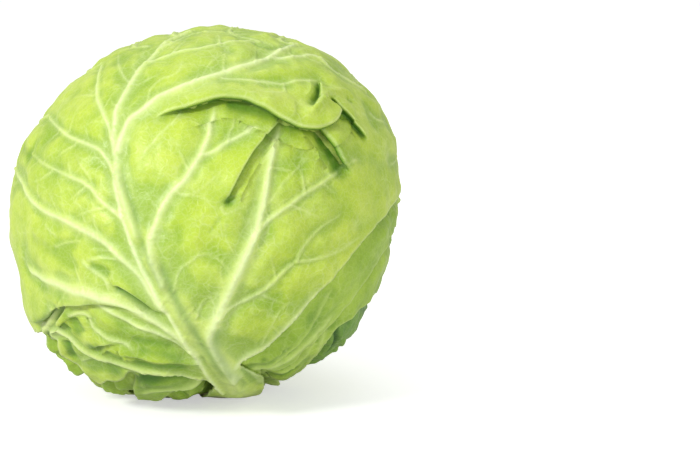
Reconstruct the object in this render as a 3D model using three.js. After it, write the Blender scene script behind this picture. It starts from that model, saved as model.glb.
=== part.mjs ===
// Head of white cabbage, trimmed at the stem and resting on the cut.
// Units are millimetres, +Z is up, +X is to the right and -Y is the front.
// The origin is the middle of the head's footprint on the surface it rests on.
//
// The head is a packed inner head wrapped by ten outer leaves. Every leaf is a
// cupped sheet that starts at the stem, follows the head's rounded surface and
// lies on the leaves below it, so each one is a patch of the same surface,
// sunk by the leaves that cover it.

import * as THREE from 'three';

// ---- driving dimensions ----------------------------------------------------
const CENTRE_HEIGHT = 86;        // the head's middle above the resting surface
const CENTRE_X = -0.5;           // the head's middle from the footprint's middle
const CENTRE_Y = 0.5;
const BODY_RADIUS = 88.5;        // radius of the head away from the outline below
const FLOOR_BLEND = 1.5;         // rounding where the underside meets the surface
const LEAF_THICKNESS = 1.4;      // blade of an outer leaf
const LEAF_PITCH = 2.9;          // depth that each covering leaf takes up
const COVER_MARGIN = 9;          // degrees beyond a leaf's edge still fully sunk
const COVER_FADE = 18;           // degrees over which the surface rises again
const RIB_HEIGHT = 2.2;          // midrib of the front leaf above its blade
const RIB_WIDTH = 7.0;           // half width of that midrib at the base
const STEM_RADIUS = 16.5;        // cut stem at its face, wide enough to stand on
const STEM_X = 9;                // cut face, from the head's middle
const STEM_LENGTH = 17;
const STEM_TAPER = 0.8;          // upper radius over lower radius
const STEM_CLEARANCE = 1.1;      // degrees between a leaf's base and the stem
const INNER_CLEARANCE = 0.8;     // gap between the inner head and the leaves

// Radius of the head's outline, every 10 degrees round the view axis
// VIEW_AXIS, starting at -180. The head is a little lopsided.
const VIEW_AXIS = [0.06763572, -0.97715045, 0.20150038];
const OUTLINE_RADIUS = [
  89.6, 89.9, 90.7, 94.5, 94.8, 94.4, 93.9, 92.0, 88.2, 86.4, 86.4, 86.5,
  86.5, 87.5, 89.0, 88.1, 87.8, 88.5, 89.6, 91.9, 94.8, 95.5, 94.2, 93.7,
  91.3, 88.5, 87.2, 86.3, 84.8, 84.7, 85.5, 85.3, 85.4, 87.1, 89.1, 89.9,
];
const OUTLINE_SPREAD = 0.5;      // how far that outline shapes the surface

// ---- the leaves, from the outermost inwards ---------------------------------
// Points are longitude and latitude in degrees as seen from the head's middle:
// longitude 0 is the front and 90 the right, latitude 90 is the crown.
const LEAVES = [
  { name: 'leaf_front', colour: 0xb9d65c, sectors: 64, rings: 9, centre: [-12, 12],
    outline: [[0, -83.4], [-13.2, -78.5], [6, -49], [-13.2, -44.4], [-31.1, -44.8], [-46.5, -48.8], [-52.2, -46.7], [-56.2, -40.1], [-60.4, -33.1], [-74, -33], [-88, -34], [-98, -26], [-106, -10], [-112, 8], [-122, 26], [-140, 42], [-165, 52], [170, 54], [150, 46], [133, 34], [120, 18], [104, 10], [74.5, 5.2], [60, 0], [48.4, -6.9], [40.3, -14.1], [33.8, -21.3], [28.5, -28.2], [19.4, -36.3], [14.8, -39.8], [17.8, -45.9], [25.6, -53.3], [56.3, -71.5], [63.4, -75.4]] },
  { name: 'leaf_right', colour: 0x9cc548, centre: [32, -12],
    outline: [[61.4, -73.8], [40, -58], [36.1, -45.3], [41, -41.5], [44.7, -32.8], [49.1, -26.1], [54.8, -20.2], [63.5, -13], [75.4, -6.1], [92, -2], [106, 6], [116, 20], [112, 40], [92, 54], [60, 58], [36, 44], [24, 20], [10, -6], [8, -34], [10, -60], [30, -76]] },
  { name: 'leaf_right_lower', colour: 0x8dbb45, centre: [44, -18],
    outline: [[80, -71.6], [62, -62], [61.7, -55], [55.2, -45.8], [52.5, -36.4], [56, -27], [62, -22], [76, -17], [98, -12], [116, -4], [128, 12], [124, 32], [104, 44], [76, 40], [52, 26], [32, 4], [27, -20], [26, -46], [40, -71.7]] },
  { name: 'leaf_bottom_front', colour: 0xa9cf56, centre: [-32, -46],
    outline: [[45, -82.5], [10, -74], [-10, -68], [-30, -66], [-43, -65.7], [-50, -58], [-56, -50], [-60, -42], [-60, -30], [-50, -18], [-36, -14], [-22, -20], [-8, -34], [6, -50], [24, -66]] },
  { name: 'leaf_bottom_small', colour: 0x86b83c, centre: [-18, -56],
    outline: [[45, -86], [-30, -84], [-30, -74], [-32, -66], [-36, -60], [-42, -54], [-42, -42], [-32, -34], [-16, -34], [-4, -42], [6, -56], [20, -72]] },
  { name: 'leaf_bottom_left', colour: 0x9ecb4a, centre: [-62, -40],
    outline: [[60, -88.1], [-120, -82], [-92, -68], [-86, -58], [-92, -48], [-100, -38], [-102, -28], [-96, -14], [-78, -6], [-58, -8], [-40, -22], [-34, -40], [-34, -60], [-10, -78]] },
  { name: 'leaf_lower_right', colour: 0x5f9440, centre: [66, -26],
    outline: [[86, -71], [70, -62], [70, -54], [73, -48], [77, -42], [84, -38], [98, -34], [112, -30], [130, -22], [142, -4], [138, 18], [118, 28], [94, 22], [72, 6], [54, -16], [46, -40], [50, -67.3]] },
  { name: 'leaf_back_left', colour: 0xa8d050, centre: [-118, -12],
    outline: [[180, -88.7], [-63.4, -78.2], [-50.8, -48.5], [-60.6, -44.3], [-67.2, -42.7], [-70, -36], [-74, -24], [-72, -10], [-70, 14], [-80, 38], [-104, 54], [-136, 56], [-158, 42], [-166, 20], [-164, -6], [-160, -30], [-156, -52], [-158, -70]] },
  { name: 'leaf_back_right', colour: 0xa2ca50, centre: [140, -8],
    outline: [[103, -72.8], [90, -70.8], [88, -56], [92, -36], [90, -12], [92, 14], [102, 38], [126, 56], [154, 58], [176, 44], [-172, 22], [-174, -4], [-178, -30], [178, -52], [170, -72]] },
  { name: 'leaf_back', colour: 0xb0d458, centre: [-170, 2],
    outline: [[149, -82.3], [-130, -82], [-120, -70], [-128, -48], [-124, -24], [-122, 4], [-124, 34], [-134, 60], [-160, 74], [150, 74], [122, 62], [116, 36], [118, 8], [122, -22], [130, -48], [140, -70]] },
];
// Line of the front leaf's midrib, from the stem up over the front.
const MIDRIB = [[30, -72], [21, -60], [13, -49], [4, -40], [-6, -30], [-18, -16], [-24, -3], [-28, 12], [-30, 30], [-30, 48]];

// ---- vectors ---------------------------------------------------------------
const DEG = Math.PI / 180;
const dot = (a, b) => a[0] * b[0] + a[1] * b[1] + a[2] * b[2];
const cross = (a, b) => [a[1] * b[2] - a[2] * b[1], a[2] * b[0] - a[0] * b[2], a[0] * b[1] - a[1] * b[0]];
const unit = (a) => { const n = Math.hypot(...a); return a.map((v) => v / n); };
const direction = ([lon, lat]) => [Math.cos(lat * DEG) * Math.sin(lon * DEG), -Math.cos(lat * DEG) * Math.cos(lon * DEG), Math.sin(lat * DEG)];
const angleBetween = (a, b) => Math.atan2(Math.hypot(...cross(a, b)), dot(a, b)) / DEG;
const smooth = (t) => { const c = Math.min(1, Math.max(0, t)); return c * c * (3 - 2 * c); };

const viewB = unit(VIEW_AXIS);
const viewR = unit(cross(cross(viewB, [1, 0, 0]), viewB));
const viewU = cross(viewB, viewR);
const stemAxis = unit([STEM_X, 0, -CENTRE_HEIGHT]);
const stemAngle = Math.atan(STEM_RADIUS / Math.hypot(STEM_X, CENTRE_HEIGHT)) / DEG;

// ---- the head's surface: distance from the middle along a direction ----------
function outlineRadius(phi) {
  const n = OUTLINE_RADIUS.length;
  const x = ((phi / DEG + 180) % 360 + 360) % 360 / (360 / n);
  const i = Math.floor(x), t = x - i;
  const p = [-1, 0, 1, 2].map((k) => OUTLINE_RADIUS[(i + k + n) % n]);
  return 0.5 * (2 * p[1] + (p[2] - p[0]) * t + (2 * p[0] - 5 * p[1] + 4 * p[2] - p[3]) * t * t + (3 * p[1] - p[0] - 3 * p[2] + p[3]) * t * t * t);
}
function surface(d) {
  const a = dot(d, viewR), b = dot(d, viewU), c = dot(d, viewB);
  const weight = Math.exp(-(((c - 0.08) / OUTLINE_SPREAD) ** 2));
  const body = BODY_RADIUS + (d[2] < 0 ? 0.5 * d[2] ** 4 : 0);
  const r = body + weight * (outlineRadius(Math.atan2(b, a)) - body);
  const z = CENTRE_HEIGHT + r * d[2];
  if (z >= FLOOR_BLEND) return r;
  const lifted = z < -FLOOR_BLEND ? 0 : (z + FLOOR_BLEND) ** 2 / (4 * FLOOR_BLEND);
  return (lifted - CENTRE_HEIGHT) / d[2];
}

// ---- a leaf's chart: angle and distance from its own middle ------------------
function chart(leaf) {
  const w = direction(leaf.centre);
  const u = unit(cross([0, 0, 1], w));
  return { u, v: cross(w, u), w };
}
function toChart({ u, v, w }, d) {
  return [Math.atan2(dot(d, v), dot(d, u)), angleBetween(d, w)];
}
function fromChart({ u, v, w }, theta, r) {
  const s = Math.sin(r * DEG), c = Math.cos(r * DEG);
  return [0, 1, 2].map((k) => s * (Math.cos(theta) * u[k] + Math.sin(theta) * v[k]) + c * w[k]);
}
// Reach of a leaf at each of a ring of angles: the edge of its outline, or the
// stem where that comes first.
const REACH_STEPS = 240;
const LONGEST_REACH = 150;
function reachTable(leaf) {
  const frame = chart(leaf);
  const poly = leaf.outline.map((p) => { const [t, r] = toChart(frame, direction(p)); return [r * Math.cos(t), r * Math.sin(t)]; });
  const table = [];
  for (let k = 0; k < REACH_STEPS; k++) {
    const t = k / REACH_STEPS * 2 * Math.PI, ux = Math.cos(t), uy = Math.sin(t);
    let best = LONGEST_REACH;
    for (let i = 0; i < poly.length; i++) {
      const [ax, ay] = poly[i], [bx, by] = poly[(i + 1) % poly.length];
      const ex = bx - ax, ey = by - ay, den = ux * ey - uy * ex;
      if (Math.abs(den) < 1e-9) continue;
      const r = (ax * ey - ay * ex) / den, s = (ax * uy - ay * ux) / den;
      if (r > 0 && s >= 0 && s <= 1) best = Math.min(best, r);
    }
    for (let r = 0; r < best; r += 0.25) {
      if (angleBetween(fromChart(frame, t, r), stemAxis) < stemAngle + STEM_CLEARANCE) { best = r - 0.25; break; }
    }
    table.push(best);
  }
  // rounded a little, and never past the stem
  const soft = table.map((_, k) => { let s = 0, n = 0; for (let j = -4; j <= 4; j++) { const g = Math.exp(-j * j / 8); s += g * table[(k + j + REACH_STEPS) % REACH_STEPS]; n += g; } return s / n; });
  return { frame, table: soft.map((v, k) => {
    const d = fromChart(frame, k / REACH_STEPS * 2 * Math.PI, v);
    return angleBetween(d, stemAxis) < stemAngle + STEM_CLEARANCE + 3 ? Math.min(v, table[k]) : v;
  }) };
}
function reach({ table }, theta) {
  const x = ((theta / (2 * Math.PI)) % 1 + 1) % 1 * REACH_STEPS;
  const i = Math.floor(x) % REACH_STEPS, t = x - Math.floor(x);
  return table[i] * (1 - t) + table[(i + 1) % REACH_STEPS] * t;
}
// Points spaced evenly along a leaf's edge, each an angle and a reach.
function evenEdge({ table, edge }, count) {
  const length = [0];
  for (let k = 0; k < REACH_STEPS; k++) length.push(length[k] + angleBetween(edge[k], edge[(k + 1) % REACH_STEPS]));
  const points = [];
  for (let s = 0, k = 0; s < count; s++) {
    const want = s / count * length[REACH_STEPS];
    while (length[k + 1] < want) k++;
    const t = (want - length[k]) / Math.max(1e-9, length[k + 1] - length[k]);
    points.push([(k + t) / REACH_STEPS * 2 * Math.PI, table[k] * (1 - t) + table[(k + 1) % REACH_STEPS] * t]);
  }
  return points;
}
const shapes = LEAVES.map((leaf) => {
  const shape = reachTable(leaf);
  shape.edge = shape.table.map((r, k) => fromChart(shape.frame, k / REACH_STEPS * 2 * Math.PI, r));
  return shape;
});
// Degrees from a direction to the edge of a leaf, or 0 within it.
function outside(shape, d) {
  const [t, r] = toChart(shape.frame, d);
  if (r <= reach(shape, t)) return 0;
  let nearest = -1;
  for (const e of shape.edge) nearest = Math.max(nearest, dot(e, d));
  return Math.acos(Math.min(1, nearest)) / DEG;
}
// How deep the surface lies under the leaves 0 to count-1.
function depthUnder(d, count) {
  let depth = 0;
  for (let j = 0; j < count; j++) {
    depth += LEAF_PITCH * (1 - smooth((outside(shapes[j], d) - COVER_MARGIN) / COVER_FADE));
  }
  return depth;
}
const ribPoints = MIDRIB.map(direction);
function ribHeight(d) {
  let best = 1e9, along = 0;
  for (let i = 0; i + 1 < ribPoints.length; i++) {
    const a = ribPoints[i], b = ribPoints[i + 1];
    const ab = b.map((v, k) => v - a[k]), ad = d.map((v, k) => v - a[k]);
    const t = Math.min(1, Math.max(0, dot(ad, ab) / dot(ab, ab)));
    const dist = Math.hypot(...ad.map((v, k) => v - t * ab[k])) * BODY_RADIUS;
    if (dist < best) { best = dist; along = (i + t) / (ribPoints.length - 1); }
  }
  const width = RIB_WIDTH * (1 - 0.75 * along);
  return RIB_HEIGHT * (1 - 0.8 * along) * Math.exp(-((best / width) ** 2));
}

// ---- geometry --------------------------------------------------------------
function closedGeometry(points, faces) {
  const position = new Float32Array(faces.length * 9);
  faces.forEach((face, i) => face.forEach((v, k) => points[v].forEach((x, c) => { position[i * 9 + k * 3 + c] = x; })));
  const geometry = new THREE.BufferGeometry();
  geometry.setAttribute('position', new THREE.BufferAttribute(position, 3));
  geometry.computeVertexNormals();
  return geometry;
}
function leafGeometry(index) {
  const leaf = LEAVES[index], shape = shapes[index];
  const rings = leaf.rings ?? 7, sectors = leaf.sectors ?? 40;
  const rim = evenEdge(shape, sectors);
  const points = [], faces = [];
  const place = (theta, r, side) => {
    const d = fromChart(shape.frame, theta, r);
    const outer = surface(d) - depthUnder(d, index);
    const distance = side === 0 ? outer + (index === 0 ? ribHeight(d) * smooth((surface(d) * d[2] + CENTRE_HEIGHT - 1) / 6) : 0) : outer - LEAF_THICKNESS;
    points.push(d.map((v) => v * distance));
  };
  for (const side of [0, 1]) {
    place(0, 0, side);
    for (let k = 1; k <= rings; k++) for (const [theta, r] of rim) place(theta, r * (k / rings) ** 0.92, side);
  }
  const half = 1 + rings * sectors;
  const id = (side, k, s) => side * half + (k === 0 ? 0 : 1 + (k - 1) * sectors + (s + sectors) % sectors);
  for (const side of [0, 1]) {
    const add = (a, b, c) => faces.push(side === 0 ? [a, b, c] : [a, c, b]);
    for (let s = 0; s < sectors; s++) {
      add(id(side, 0, 0), id(side, 1, s), id(side, 1, s + 1));
      for (let k = 1; k < rings; k++) {
        add(id(side, k, s), id(side, k + 1, s), id(side, k + 1, s + 1));
        add(id(side, k, s), id(side, k + 1, s + 1), id(side, k, s + 1));
      }
    }
  }
  for (let s = 0; s < sectors; s++) {
    const a = id(0, rings, s), b = id(0, rings, s + 1), c = id(1, rings, s + 1), e = id(1, rings, s);
    faces.push([a, e, c], [a, c, b]);
  }
  return closedGeometry(points, faces);
}
// A closed ball of points whose distance from the middle is given per direction.
function ballGeometry(rows, columns, distance) {
  const points = [], faces = [];
  const push = (d) => points.push(d.map((v) => v * distance(d)));
  push([0, 0, -1]);
  for (let i = 1; i < rows; i++) for (let j = 0; j < columns; j++) push(direction([j / columns * 360, -90 + i / rows * 180]));
  push([0, 0, 1]);
  const top = points.length - 1, id = (i, j) => 1 + (i - 1) * columns + (j + columns) % columns;
  for (let j = 0; j < columns; j++) {
    faces.push([0, id(1, j + 1), id(1, j)], [top, id(rows - 1, j), id(rows - 1, j + 1)]);
    for (let i = 1; i < rows - 1; i++) faces.push([id(i, j), id(i, j + 1), id(i + 1, j + 1)], [id(i, j), id(i + 1, j + 1), id(i + 1, j)]);
  }
  return closedGeometry(points, faces);
}
function stemGeometry() {
  const columns = 36, points = [], faces = [];
  const scale = 1 - STEM_LENGTH / CENTRE_HEIGHT;
  const rows = [[0, 1], [STEM_LENGTH, STEM_TAPER]];
  for (const [z, ratio] of rows) {
    const shift = z === 0 ? 1 : scale;
    points.push([STEM_X * shift, 0, z - CENTRE_HEIGHT]);
    for (let j = 0; j < columns; j++) {
      const t = j / columns * 2 * Math.PI;
      points.push([STEM_X * shift + STEM_RADIUS * ratio * Math.cos(t), STEM_RADIUS * ratio * Math.sin(t), z - CENTRE_HEIGHT]);
    }
  }
  const id = (i, j) => i * (columns + 1) + 1 + (j + columns) % columns;
  for (let j = 0; j < columns; j++) {
    faces.push([0, id(0, j + 1), id(0, j)], [columns + 1, id(1, j), id(1, j + 1)]);
    faces.push([id(0, j), id(0, j + 1), id(1, j + 1)], [id(0, j), id(1, j + 1), id(1, j)]);
  }
  return closedGeometry(points, faces);
}

// ---- the head ----------------------------------------------------------------
const head = new THREE.Group();
head.position.set(CENTRE_X, CENTRE_Y, CENTRE_HEIGHT);
const add = (name, geometry, color, roughness) => {
  const mesh = new THREE.Mesh(geometry, new THREE.MeshStandardMaterial({ color, roughness, metalness: 0 }));
  mesh.name = name;
  head.add(mesh);
};
LEAVES.forEach((leaf, index) => add(leaf.name, leafGeometry(index), leaf.colour, 0.5));

// The tightly packed inner leaves, one body under the last wrapper. Its
// underside stays above the stem.
add('inner_head', ballGeometry(20, 36, (d) => {
  const r = surface(d) - depthUnder(d, LEAVES.length) - INNER_CLEARANCE;
  const overStem = (CENTRE_HEIGHT - STEM_LENGTH - 0.8) / Math.max(1e-6, -d[2]);
  return angleBetween(d, stemAxis) < stemAngle + 11 ? Math.min(r, overStem) : r;
}), 0xd8e8a0, 0.55);
add('cut_stem', stemGeometry(), 0xe6ecc4, 0.6);

export default head;
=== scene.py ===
import bpy
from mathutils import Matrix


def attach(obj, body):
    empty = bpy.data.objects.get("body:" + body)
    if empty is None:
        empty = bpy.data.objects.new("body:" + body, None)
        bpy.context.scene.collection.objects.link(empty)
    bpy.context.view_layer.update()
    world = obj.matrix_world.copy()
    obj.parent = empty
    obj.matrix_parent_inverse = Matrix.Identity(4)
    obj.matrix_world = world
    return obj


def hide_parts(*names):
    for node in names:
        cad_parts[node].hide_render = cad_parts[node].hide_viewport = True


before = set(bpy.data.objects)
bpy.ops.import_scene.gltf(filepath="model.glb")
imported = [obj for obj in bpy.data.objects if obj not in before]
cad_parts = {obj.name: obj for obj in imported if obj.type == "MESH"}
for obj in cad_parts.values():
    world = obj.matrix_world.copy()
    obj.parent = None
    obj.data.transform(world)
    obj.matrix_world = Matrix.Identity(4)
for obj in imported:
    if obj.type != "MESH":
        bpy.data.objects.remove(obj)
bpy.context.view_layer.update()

import bpy, math
import numpy as np
from mathutils import Vector, Matrix
from mathutils.geometry import delaunay_2d_cdt

# All lengths below are millimetres from the head's middle, unless said.
CENTRE = np.array([-0.5, 0.5, 86.0])
BODY_RADIUS = 88.5
OUTLINE = [89.6, 89.9, 90.7, 94.5, 94.8, 94.4, 93.9, 92.0, 88.2, 86.4, 86.4, 86.5,
           86.5, 87.5, 89.0, 88.1, 87.8, 88.5, 89.6, 91.9, 94.8, 95.5, 94.2, 93.7,
           91.3, 88.5, 87.2, 86.3, 84.8, 84.7, 85.5, 85.3, 85.4, 87.1, 89.1, 89.9]
RT = np.array(OUTLINE)

# ---------------------------------------------------------------- the camera
ELEV = math.radians(12.0)
F_PX = 700 * 110.0 / 36.0
ER = np.array([1.0, 0, 0])
EU = np.array([0, math.sin(ELEV), math.cos(ELEV)])
EB = np.array([0, -math.cos(ELEV), math.sin(ELEV)])
DIST = 1000.0
AIM = ER * ((350 - 205) / F_PX * DIST) - EU * ((225 - 212) / F_PX * DIST)
CAM = AIM + EB * DIST
B2 = CAM / np.linalg.norm(CAM)
R2 = np.cross(np.cross(B2, ER), B2); R2 /= np.linalg.norm(R2)
U2 = np.cross(B2, R2)

cam_data = bpy.data.cameras.new("camera")
cam_data.lens = 110.0
cam_data.sensor_width = 36.0
cam_data.clip_start = 0.05
camera = bpy.data.objects.new("camera", cam_data)
bpy.context.scene.collection.objects.link(camera)
camera.matrix_world = Matrix((
    (ER[0], EU[0], EB[0], (CAM + CENTRE)[0] / 1000),
    (ER[1], EU[1], EB[1], (CAM + CENTRE)[1] / 1000),
    (ER[2], EU[2], EB[2], (CAM + CENTRE)[2] / 1000),
    (0, 0, 0, 1)))
bpy.context.scene.camera = camera


def unit(v):
    return v / np.linalg.norm(v, axis=-1, keepdims=True)


def smooth(t):
    t = np.clip(t, 0, 1)
    return t * t * (3 - 2 * t)


# ------------------------------------------------- the head's rounded surface
def outline_radius(phi):
    x = (np.degrees(phi) + 180.0) % 360.0 / 10.0
    i = np.floor(x).astype(int); t = x - i
    n = len(RT)
    p0, p1, p2, p3 = RT[(i - 1) % n], RT[i % n], RT[(i + 1) % n], RT[(i + 2) % n]
    return 0.5 * (2 * p1 + (p2 - p0) * t + (2 * p0 - 5 * p1 + 4 * p2 - p3) * t * t + (3 * p1 - p0 - 3 * p2 + p3) * t ** 3)


def surface(d):
    a, b, c = d @ R2, d @ U2, d @ B2
    w = np.exp(-((c - 0.08) / 0.5) ** 2)
    up = d[..., 2]
    body = BODY_RADIUS + np.where(up < 0, 0.5 * up ** 4, 0)
    r = body + w * (outline_radius(np.arctan2(b, a)) - body)
    z = 86.0 + r * up
    k = 1.5
    zz = np.where(z < -k, 0.0, (z + k) ** 2 / (4 * k))
    return np.where(z < k, (zz - 86.0) / np.minimum(up, -1e-6), r)


def from_px(pts):
    """Directions, from the head's middle, of the surface seen at these points of the 700 by 450 view."""
    p = np.asarray(pts, float)
    v = unit(ER * ((p[:, :1] - 350) / F_PX) - EU * ((p[:, 1:] - 225) / F_PX) - EB)
    t0 = -(v @ CAM)
    q = CAM + t0[:, None] * v
    m = np.linalg.norm(q, axis=1)
    d = unit(q)
    r = surface(d)
    for _ in range(14):
        h = np.sqrt(np.maximum(0, r * r - m * m))
        d = unit(CAM + (t0 - h)[:, None] * v)
        r = surface(d)
    return d


def from_ll(pts):
    a = np.radians(np.asarray(pts, float))
    return np.stack([np.cos(a[:, 1]) * np.sin(a[:, 0]), -np.cos(a[:, 1]) * np.cos(a[:, 0]), np.sin(a[:, 1])], -1)


def dirs(items):
    """A run of ('p', x, y), ('d', lon, lat) and ('b', x, y) under the head, as directions."""
    out = []
    for k, a, b in items:
        if k == 'p':
            out.append(from_px([(a, b)])[0])
        elif k == 'd':
            out.append(from_ll([(a, b)])[0])
        else:
            out.append(unit(np.array([a, b, -86.0])))
    return np.array(out)


def px(l):
    return [('p', a, b) for a, b in l]


def ll(l):
    return [('d', a, b) for a, b in l]


def spline(P, step=1.0, closed=False):
    """Catmull-Rom through the points, resampled to about step mm."""
    P = np.asarray(P, float)
    n = len(P)
    out = []
    last = n if closed else n - 1
    for i in range(last):
        if closed:
            p0, p1, p2, p3 = P[(i - 1) % n], P[i], P[(i + 1) % n], P[(i + 2) % n]
        else:
            p1, p2 = P[i], P[i + 1]
            p0 = P[i - 1] if i > 0 else 2 * p1 - p2
            p3 = P[i + 2] if i + 2 < n else 2 * p2 - p1
        m = max(1, int(round(np.linalg.norm(p2 - p1) / step)))
        t = (np.arange(m) / m)[:, None]
        out.append(0.5 * (2 * p1 + (p2 - p0) * t + (2 * p0 - 5 * p1 + 4 * p2 - p3) * t * t + (3 * p1 - p0 - 3 * p2 + p3) * t ** 3))
    if not closed:
        out.append(P[-1:])
    return np.concatenate(out)


def line3(items, step=1.0):
    d = dirs(items)
    return spline(d * surface(d)[:, None], step)


# ------------------------------------------------------------- smooth noise
_rng = np.random.RandomState(7)
_PERM = np.tile(_rng.permutation(256), 3)
_GRAD = unit(_rng.normal(size=(256, 3)))


def noise(P, scale, seed=0):
    q = P / scale + 37.31 * seed + 11.7
    i = np.floor(q).astype(int); f = q - i
    u = f * f * f * (f * (f * 6 - 15) + 10)
    i &= 255
    tot = 0
    for a in (0, 1):
        wx = u[:, 0] if a else 1 - u[:, 0]
        for b in (0, 1):
            wy = u[:, 1] if b else 1 - u[:, 1]
            for c in (0, 1):
                wz = u[:, 2] if c else 1 - u[:, 2]
                h = _PERM[_PERM[_PERM[(i[:, 0] + a) & 255] + ((i[:, 1] + b) & 255)] + ((i[:, 2] + c) & 255)]
                g = _GRAD[h]
                tot = tot + wx * wy * wz * ((f[:, 0] - a) * g[:, 0] + (f[:, 1] - b) * g[:, 1] + (f[:, 2] - c) * g[:, 2])
    return tot * 1.6


# ------------------------------------------------------ distance to a line
def near(P, Q, reach):
    """Indices of points within reach of polyline Q, with distance, place along 0..1, nearest point and tangent."""
    lo, hi = Q.min(0) - reach, Q.max(0) + reach
    idx = np.nonzero(((P > lo) & (P < hi)).all(1))[0]
    if len(idx) == 0:
        return idx, *(np.zeros(0),) * 2, np.zeros((0, 3)), np.zeros((0, 3))
    best = np.full(len(idx), 1e9); along = np.zeros(len(idx)); pt = np.zeros((len(idx), 3)); tan = np.zeros((len(idx), 3))
    X = P[idx]
    n = len(Q) - 1
    for k in range(n):
        a, b = Q[k], Q[k + 1]
        ab = b - a
        L = ab @ ab
        if L < 1e-12:
            continue
        t = np.clip(((X - a) @ ab) / L, 0, 1)
        c = a + t[:, None] * ab
        s = np.linalg.norm(X - c, axis=1)
        m = s < best
        best[m] = s[m]; along[m] = (k + t[m]) / n; pt[m] = c[m]; tan[m] = ab / math.sqrt(L)
    ok = best < reach
    return idx[ok], best[ok], along[ok], pt[ok], tan[ok]


# ------------------------------------------------------------------ charts
class Chart:
    def __init__(self, w):
        self.w = unit(np.asarray(w, float))
        self.u = unit(np.cross([0, 0, 1.0], self.w))
        self.v = np.cross(self.w, self.u)

    def to(self, d):
        k = np.sqrt(2 / np.maximum(1e-6, 1 + d @ self.w)) * 88.0
        return np.stack([k * (d @ self.u), k * (d @ self.v)], -1)

    def back(self, xy):
        q = xy / 88.0
        s = np.minimum((q ** 2).sum(-1), 3.99)
        k = np.sqrt(1 - s / 4)
        return unit(k[..., None] * (q[..., :1] * self.u + q[..., 1:] * self.v) + (1 - s / 2)[..., None] * self.w)


def inside(poly, xy):
    r = np.zeros(len(xy), bool)
    a, b = poly, np.roll(poly, -1, 0)
    for (ax, ay), (bx, by) in zip(a, b):
        if ay == by:
            continue
        c = (ay > xy[:, 1]) != (by > xy[:, 1])
        r ^= c & (xy[:, 0] < (bx - ax) * (xy[:, 1] - ay) / (by - ay) + ax)
    return r


def edge_distance(poly, xy, chunk=4000):
    a, b = poly, np.roll(poly, -1, 0)
    ab = b - a
    L = np.maximum((ab ** 2).sum(1), 1e-9)
    out = np.empty(len(xy))
    for i in range(0, len(xy), chunk):
        p = xy[i:i + chunk, None, :] - a[None]
        t = np.clip((p * ab).sum(2) / L, 0, 1)
        out[i:i + chunk] = np.sqrt(((p - t[..., None] * ab) ** 2).sum(2).min(1))
    return out


STEM_X = 9.0
STEM_RADIUS = 16.2
STEM = unit(np.array([STEM_X, 0, -86.0]))
STEM_GAP = 11.7     # degrees kept clear round the stem's axis

# ------------------------------------------------------ the leaves' outlines
SHAPES = {}
SHAPES['leaf_front'] = dict(c=(-12, 6), o=[('b', 0, -11), ('b', -2, -18)] + px([(214, 388), (211, 382), (200, 380), (182, 378), (165, 377), (148, 375), (130, 372), (124, 378), (116, 381), (108, 379), (103, 382), (98, 381), (90, 376), (80, 368), (70, 360), (62, 350), (57, 341), (50, 339), (43, 333)]) + ll([(-74, -33), (-88, -33), (-98, -26), (-106, -10), (-112, 8), (-122, 26), (-140, 42), (-165, 50), (170, 54), (150, 46), (133, 34), (120, 18), (104, 10)]) + px([(386, 212), (370, 232), (345, 262), (322, 290), (310, 303), (300, 315), (290, 325), (280, 336), (265, 350), (251, 358), (241, 365), (246, 371), (256, 376), (265, 381), (259, 390)]) + [('b', 20, -21), ('b', 19, -12)])
SHAPES['leaf_right'] = dict(c=(55, 0), o=[('b', 24, -9), ('b', 30, -18)] + px([(262, 376), (280, 369), (295, 360), (305, 350), (315, 340), (325, 330), (333, 321), (350, 300), (370, 272), (388, 242)]) + ll([(92, -4), (106, 4), (118, 18), (112, 40), (92, 54), (60, 58), (36, 44), (24, 20), (12, -6), (8, -34), (12, -60)]) + [('b', 16, -16)])
SHAPES['leaf_right_lower'] = dict(c=(60, -14), o=[('b', 29, -3), ('b', 37, -10)] + px([(268, 382), (282, 381), (298, 372), (311, 362), (323, 347), (333, 334), (344, 323), (357, 311), (369, 299)]) + ll([(92, -24), (104, -12), (122, 0), (130, 14), (124, 32), (104, 44), (76, 40), (52, 26), (32, 4), (27, -20), (26, -46)]) + [('b', 25, -20), ('b', 24, -12)])
SHAPES['leaf_bottom_front'] = dict(c=(-30, -46), o=[('b', 4, -13), ('b', 8, -22)] + px([(222, 388), (215, 384), (200, 387), (180, 391), (165, 396), (155, 400), (148, 401), (140, 398), (133, 390), (128, 378)]) + ll([(-52, -44), (-58, -34), (-54, -22), (-40, -14), (-22, -18), (-8, -30), (6, -44), (18, -56)]) + [('b', 16, -22), ('b', 12, -15)])
SHAPES['leaf_bottom_small'] = dict(c=(-20, -58), o=[('b', -2, -4), ('b', -4, -14)] + px([(222, 394), (213, 397), (200, 399), (180, 399), (163, 397), (150, 396)]) + ll([(-42, -54), (-42, -42), (-32, -34), (-16, -34), (-2, -42), (12, -54)]) + [('b', 12, -24), ('b', 6, -15)])
SHAPES['leaf_bottom_left'] = dict(c=(-62, -42), o=[('b', -3, 2), ('b', -16, -8), ('b', -28, -24)] + px([(140, 397), (133, 392), (126, 395), (118, 396), (108, 392), (101, 385), (96, 378)]) + ll([(-66, -48), (-82, -52), (-96, -46), (-102, -30), (-96, -14), (-78, -6), (-58, -8), (-40, -22), (-34, -40), (-34, -60)]) + [('b', -8, -12)])
SHAPES['leaf_lower_right'] = dict(c=(78, -22), o=[('b', 29, 3), ('b', 42, 4), ('b', 52, -8)] + px([(296, 374), (311, 365), (318, 363), (326, 356), (338, 349), (346, 344)]) + ll([(84, -38), (98, -36), (112, -31), (130, -22), (142, -4), (138, 18), (118, 28), (94, 22), (72, 6), (54, -16), (46, -40)]) + [('b', 32, -16)])
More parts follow.
